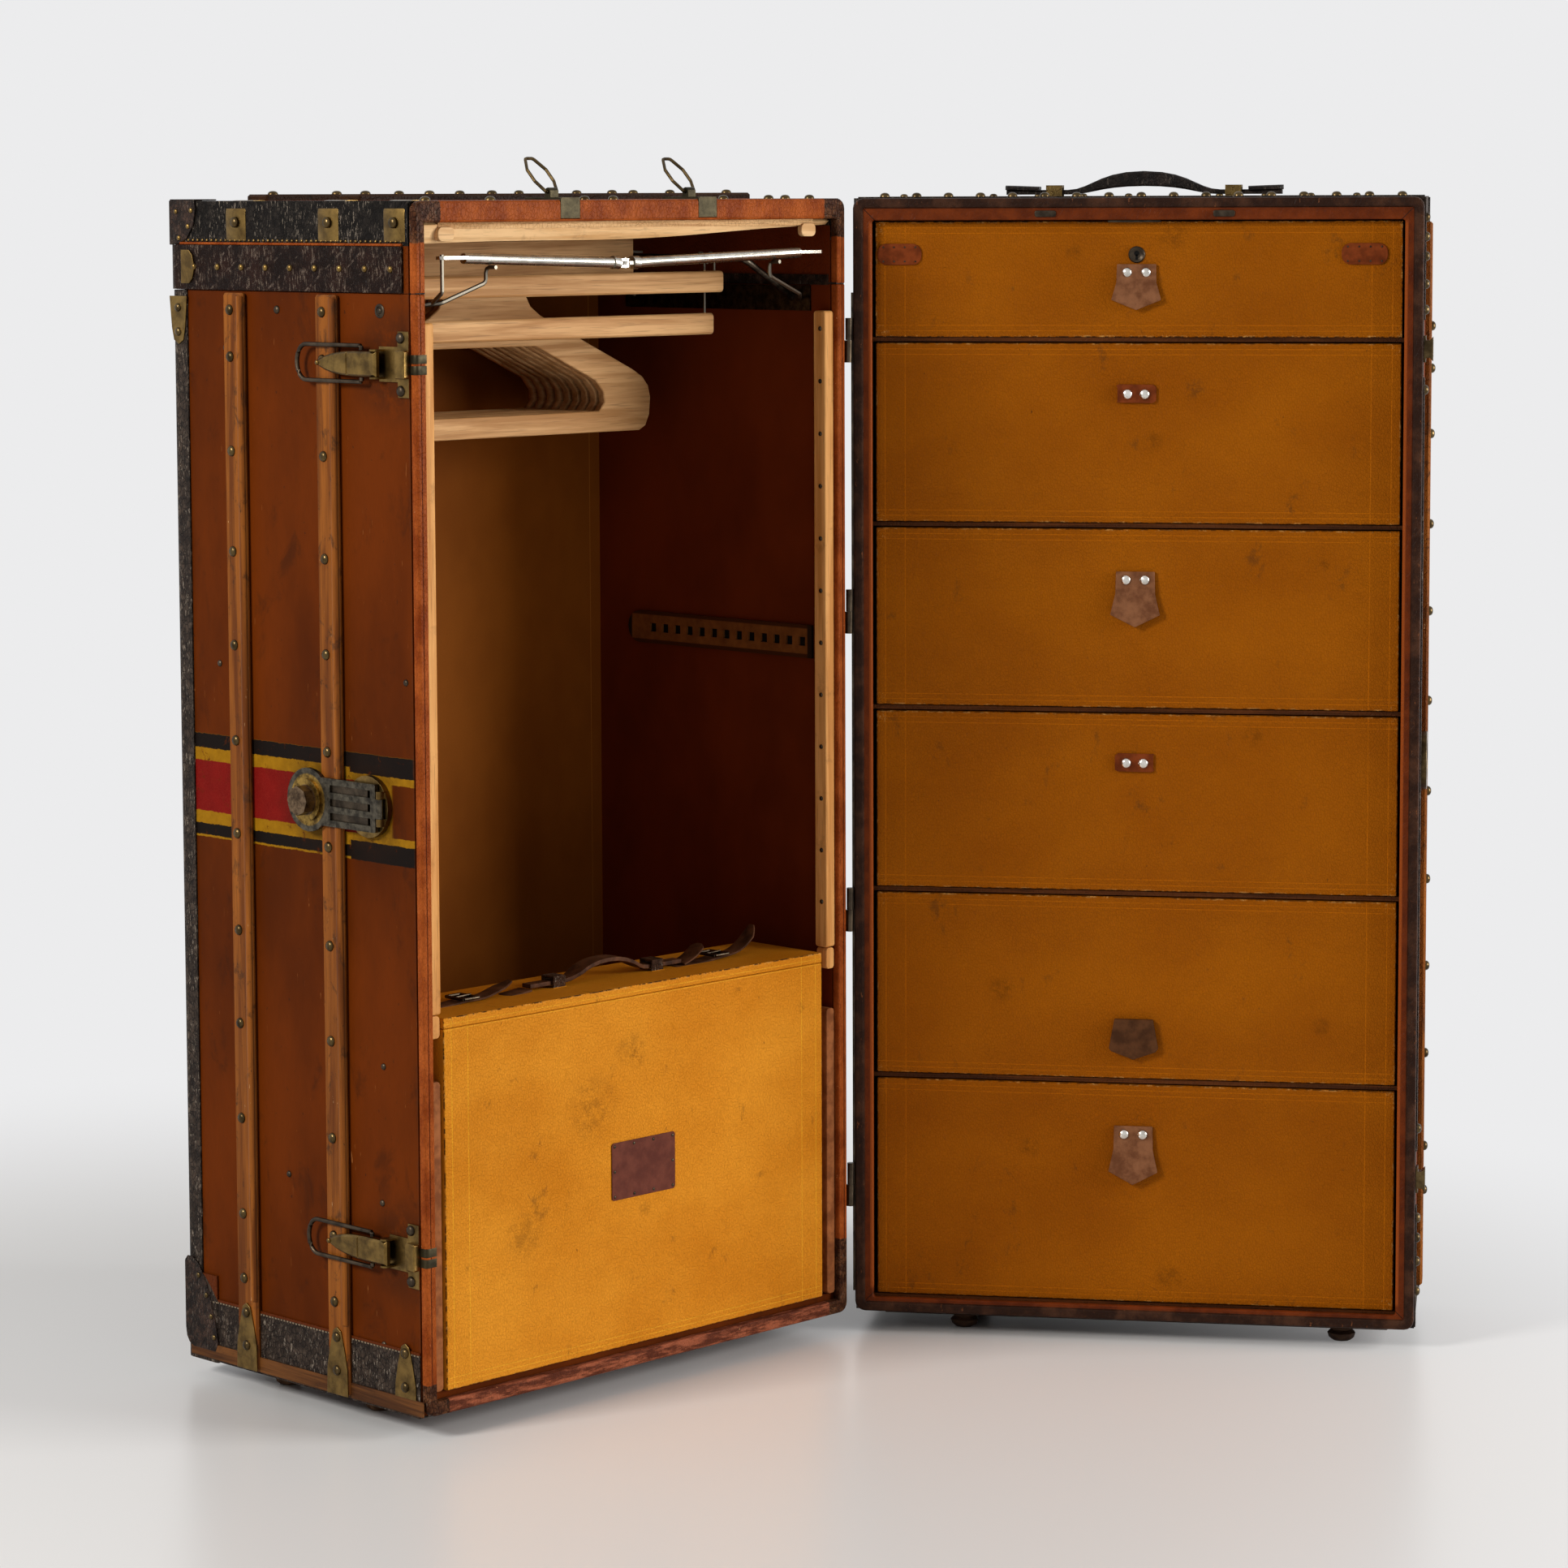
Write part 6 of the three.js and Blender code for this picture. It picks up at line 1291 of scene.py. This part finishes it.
def back_nails():
    """Nails down the back slats of both halves, and on the lid."""
    places = [(CHEST_X0 + s * TRUNK_W, CHEST_D + SLAT_T, z) for s in BACK_SLATS for z in evenly(45, 1075, 12)]
    nails("chest_back_nails", "chest", "chest_brass", places, REAR, 4.2, 2.6)
    rear, levels = WARDROBE_D + SLAT_T, evenly(100, 960, 10)
    places = [(LOCK_X + s * TRUNK_W, rear, z) for s in BACK_SLATS for z in levels]
    nails("wardrobe_back_nails", "wardrobe", "bronze", places, REAR, 4.2, 2.6)
    places = [(x, y, TRUNK_H + SLAT_T) for y in LOCK_SLATS for x in evenly(LOCK_X + 45, HINGE_X - 45, 7)]
    nails("lid_slat_nails", "lid", "bronze", places, UP, 5.0, 3.2)
    places = [(x, 14, TRUNK_H) for x in (-540, -461, -343, -306, -160, -98, -75, -41)]
    nails("lid_front_nails", "lid", "bronze", places, UP, 5.0, 3.8)


def bottom_handle():
    """The second carrying handle, under the drawer half."""
    shape = Shape()
    reach = 120
    half_path = [(-reach, -1.2), (-reach * 0.8, -2.0), (-reach * 0.5, -8.5), (0, -11.5)]
    shape.strap(curve([(CHEST_MID + u, CHEST_D / 2, v) for u, v in mirrored(half_path)]), FRONT, 22, 4.2)
    shape.make("handle_bottom", "chest", "handle")
    rivets = [(CHEST_MID + u, CHEST_D / 2, -1.0) for u in (-112, 112)]
    nails("handle_bottom_rivets", "chest", "chest_brass", rivets, DOWN, 5, 2.2)


# Stage, lights and camera

BACKDROP = rgb(236, 236, 237)


def seen_rays(tree, *more):
    """1 for rays from the camera and for the other kinds named, which show the plain backdrop."""
    rays = add_node(tree, "LightPath").outputs
    mask = rays["Is Camera Ray"]
    for name in more:
        mask = add_node(tree, "Math", {0: mask, 1: rays[name]}, operation="MAXIMUM").outputs[0]
    return mask


def make_world():
    world = bpy.data.worlds.new("studio")
    bpy.context.scene.world = world
    world.use_nodes = True
    tree = world.node_tree
    tree.nodes.clear()
    lit = add_node(tree, "Background", {"Color": (1.0, 0.99, 0.97, 1), "Strength": 0.3})
    shown = add_node(tree, "Background", {"Color": BACKDROP})
    rays = seen_rays(tree, "Is Transmission Ray", "Is Glossy Ray")
    pick = add_node(tree, "MixShader", {0: rays, 1: lit.outputs[0], 2: shown.outputs[0]})
    add_node(tree, "OutputWorld", {0: pick.outputs[0]})


def make_floor():
    """A pale floor that fades into the backdrop away from the trunk."""
    mesh = bmesh.new()
    mesh.faces.new([mesh.verts.new((x, y, 0)) for x, y in ((-30, -30), (30, -30), (30, 30), (-30, 30))])
    data = bpy.data.meshes.new("floor")
    mesh.to_mesh(data)
    mesh.free()
    floor = bpy.data.objects.new("floor", data)
    bpy.context.scene.collection.objects.link(floor)
    look = bpy.data.materials.new("floor_paint")
    look.use_nodes = True
    tree = look.node_tree
    shader = tree.nodes["Principled BSDF"]
    shader.inputs["Base Color"].default_value = rgb(226, 225, 224)
    shader.inputs["Roughness"].default_value = 0.3
    place = add_node(tree, "TexCoord").outputs["Object"]
    aside = add_node(tree, "VectorMath", {0: place, 1: (0.35, 0.3, 0)}, operation="ADD").outputs[0]
    far = add_node(tree, "VectorMath", {0: aside}, operation="LENGTH").outputs["Value"]
    fade_ends = {"Value": far, "From Min": 0.7, "From Max": 1.8}
    fade = add_node(tree, "MapRange", fade_ends, interpolation_type="SMOOTHSTEP").outputs[0]
    rays = seen_rays(tree, "Is Glossy Ray")
    share = add_node(tree, "Math", {0: rays, 1: fade}, operation="MULTIPLY").outputs[0]
    glow = add_node(tree, "Emission", {"Color": BACKDROP}).outputs[0]
    pick = add_node(tree, "MixShader", {0: share, 1: shader.outputs[0], 2: glow})
    tree.links.new(pick.outputs[0], tree.nodes["Material Output"].inputs[0])
    data.materials.append(look)


def place_thing(name, data, place, spin):
    """A lamp or camera object."""
    thing = bpy.data.objects.new(name, data)
    thing.location = place
    thing.rotation_mode = "QUATERNION"
    thing.rotation_quaternion = spin
    bpy.context.scene.collection.objects.link(thing)
    return thing


def make_lamps():
    for name, place, aim, size, power, colour in (
        ("key", (-3.0, -3.1, 2.7), (0.1, 0.1, 0.6), (1.2, 1.2), 160, (1, 0.98, 0.95)),
        ("window", (3.8, -0.15, 1.4), (-0.1, 0.0, 0.55), (2.0, 1.8), 150, (1, 0.99, 0.97)),
    ):
        lamp = bpy.data.lights.new(name, "AREA")
        lamp.shape = "RECTANGLE"
        lamp.size, lamp.size_y = size
        lamp.energy = power
        lamp.color = colour
        place_thing(name, lamp, place, (Vector(aim) - Vector(place)).to_track_quat("-Z", "Y"))


def make_camera():
    """Stands where the photograph was taken from, worked out from both halves' front rectangles."""
    camera = bpy.data.cameras.new("camera")
    camera.sensor_width = 36
    camera.lens = 104.1
    camera.shift_y = -0.1
    place = (HINGE.x + 0.660, HINGE.y - 4.451, FOOT_H * MM + 1.127)
    turn, pitch, roll = math.atan2(0.161, 0.987), math.radians(90 - 5.49), math.radians(-0.21)
    spin = Matrix.Rotation(turn, 3, "Z") @ Matrix.Rotation(pitch, 3, "X") @ Matrix.Rotation(roll, 3, "Z")
    bpy.context.scene.camera = place_thing("camera", camera, place, spin.to_quaternion())


bpy.context.scene.view_settings.view_transform = "Standard"
make_camera()
make_world()
make_floor()
make_lamps()
dress_frame()
dress_boxes()
slat_beads()
lock_side_nails()
latch_trim()
latch_bails()
hasp_backing()
clamps()
lid_band_trim()
corner_caps()
base_strip()
strip_tacks()
lid_lining_board()
lid_lip()
case_guides()
rail_backing()
rear_hangers()
case_straps()
case_label()
case_handle_ends()
pull_rivets()
top_drawer_trim()
handle_tips()
pull_shield()
chest_edges()
back_nails()
bottom_handle()
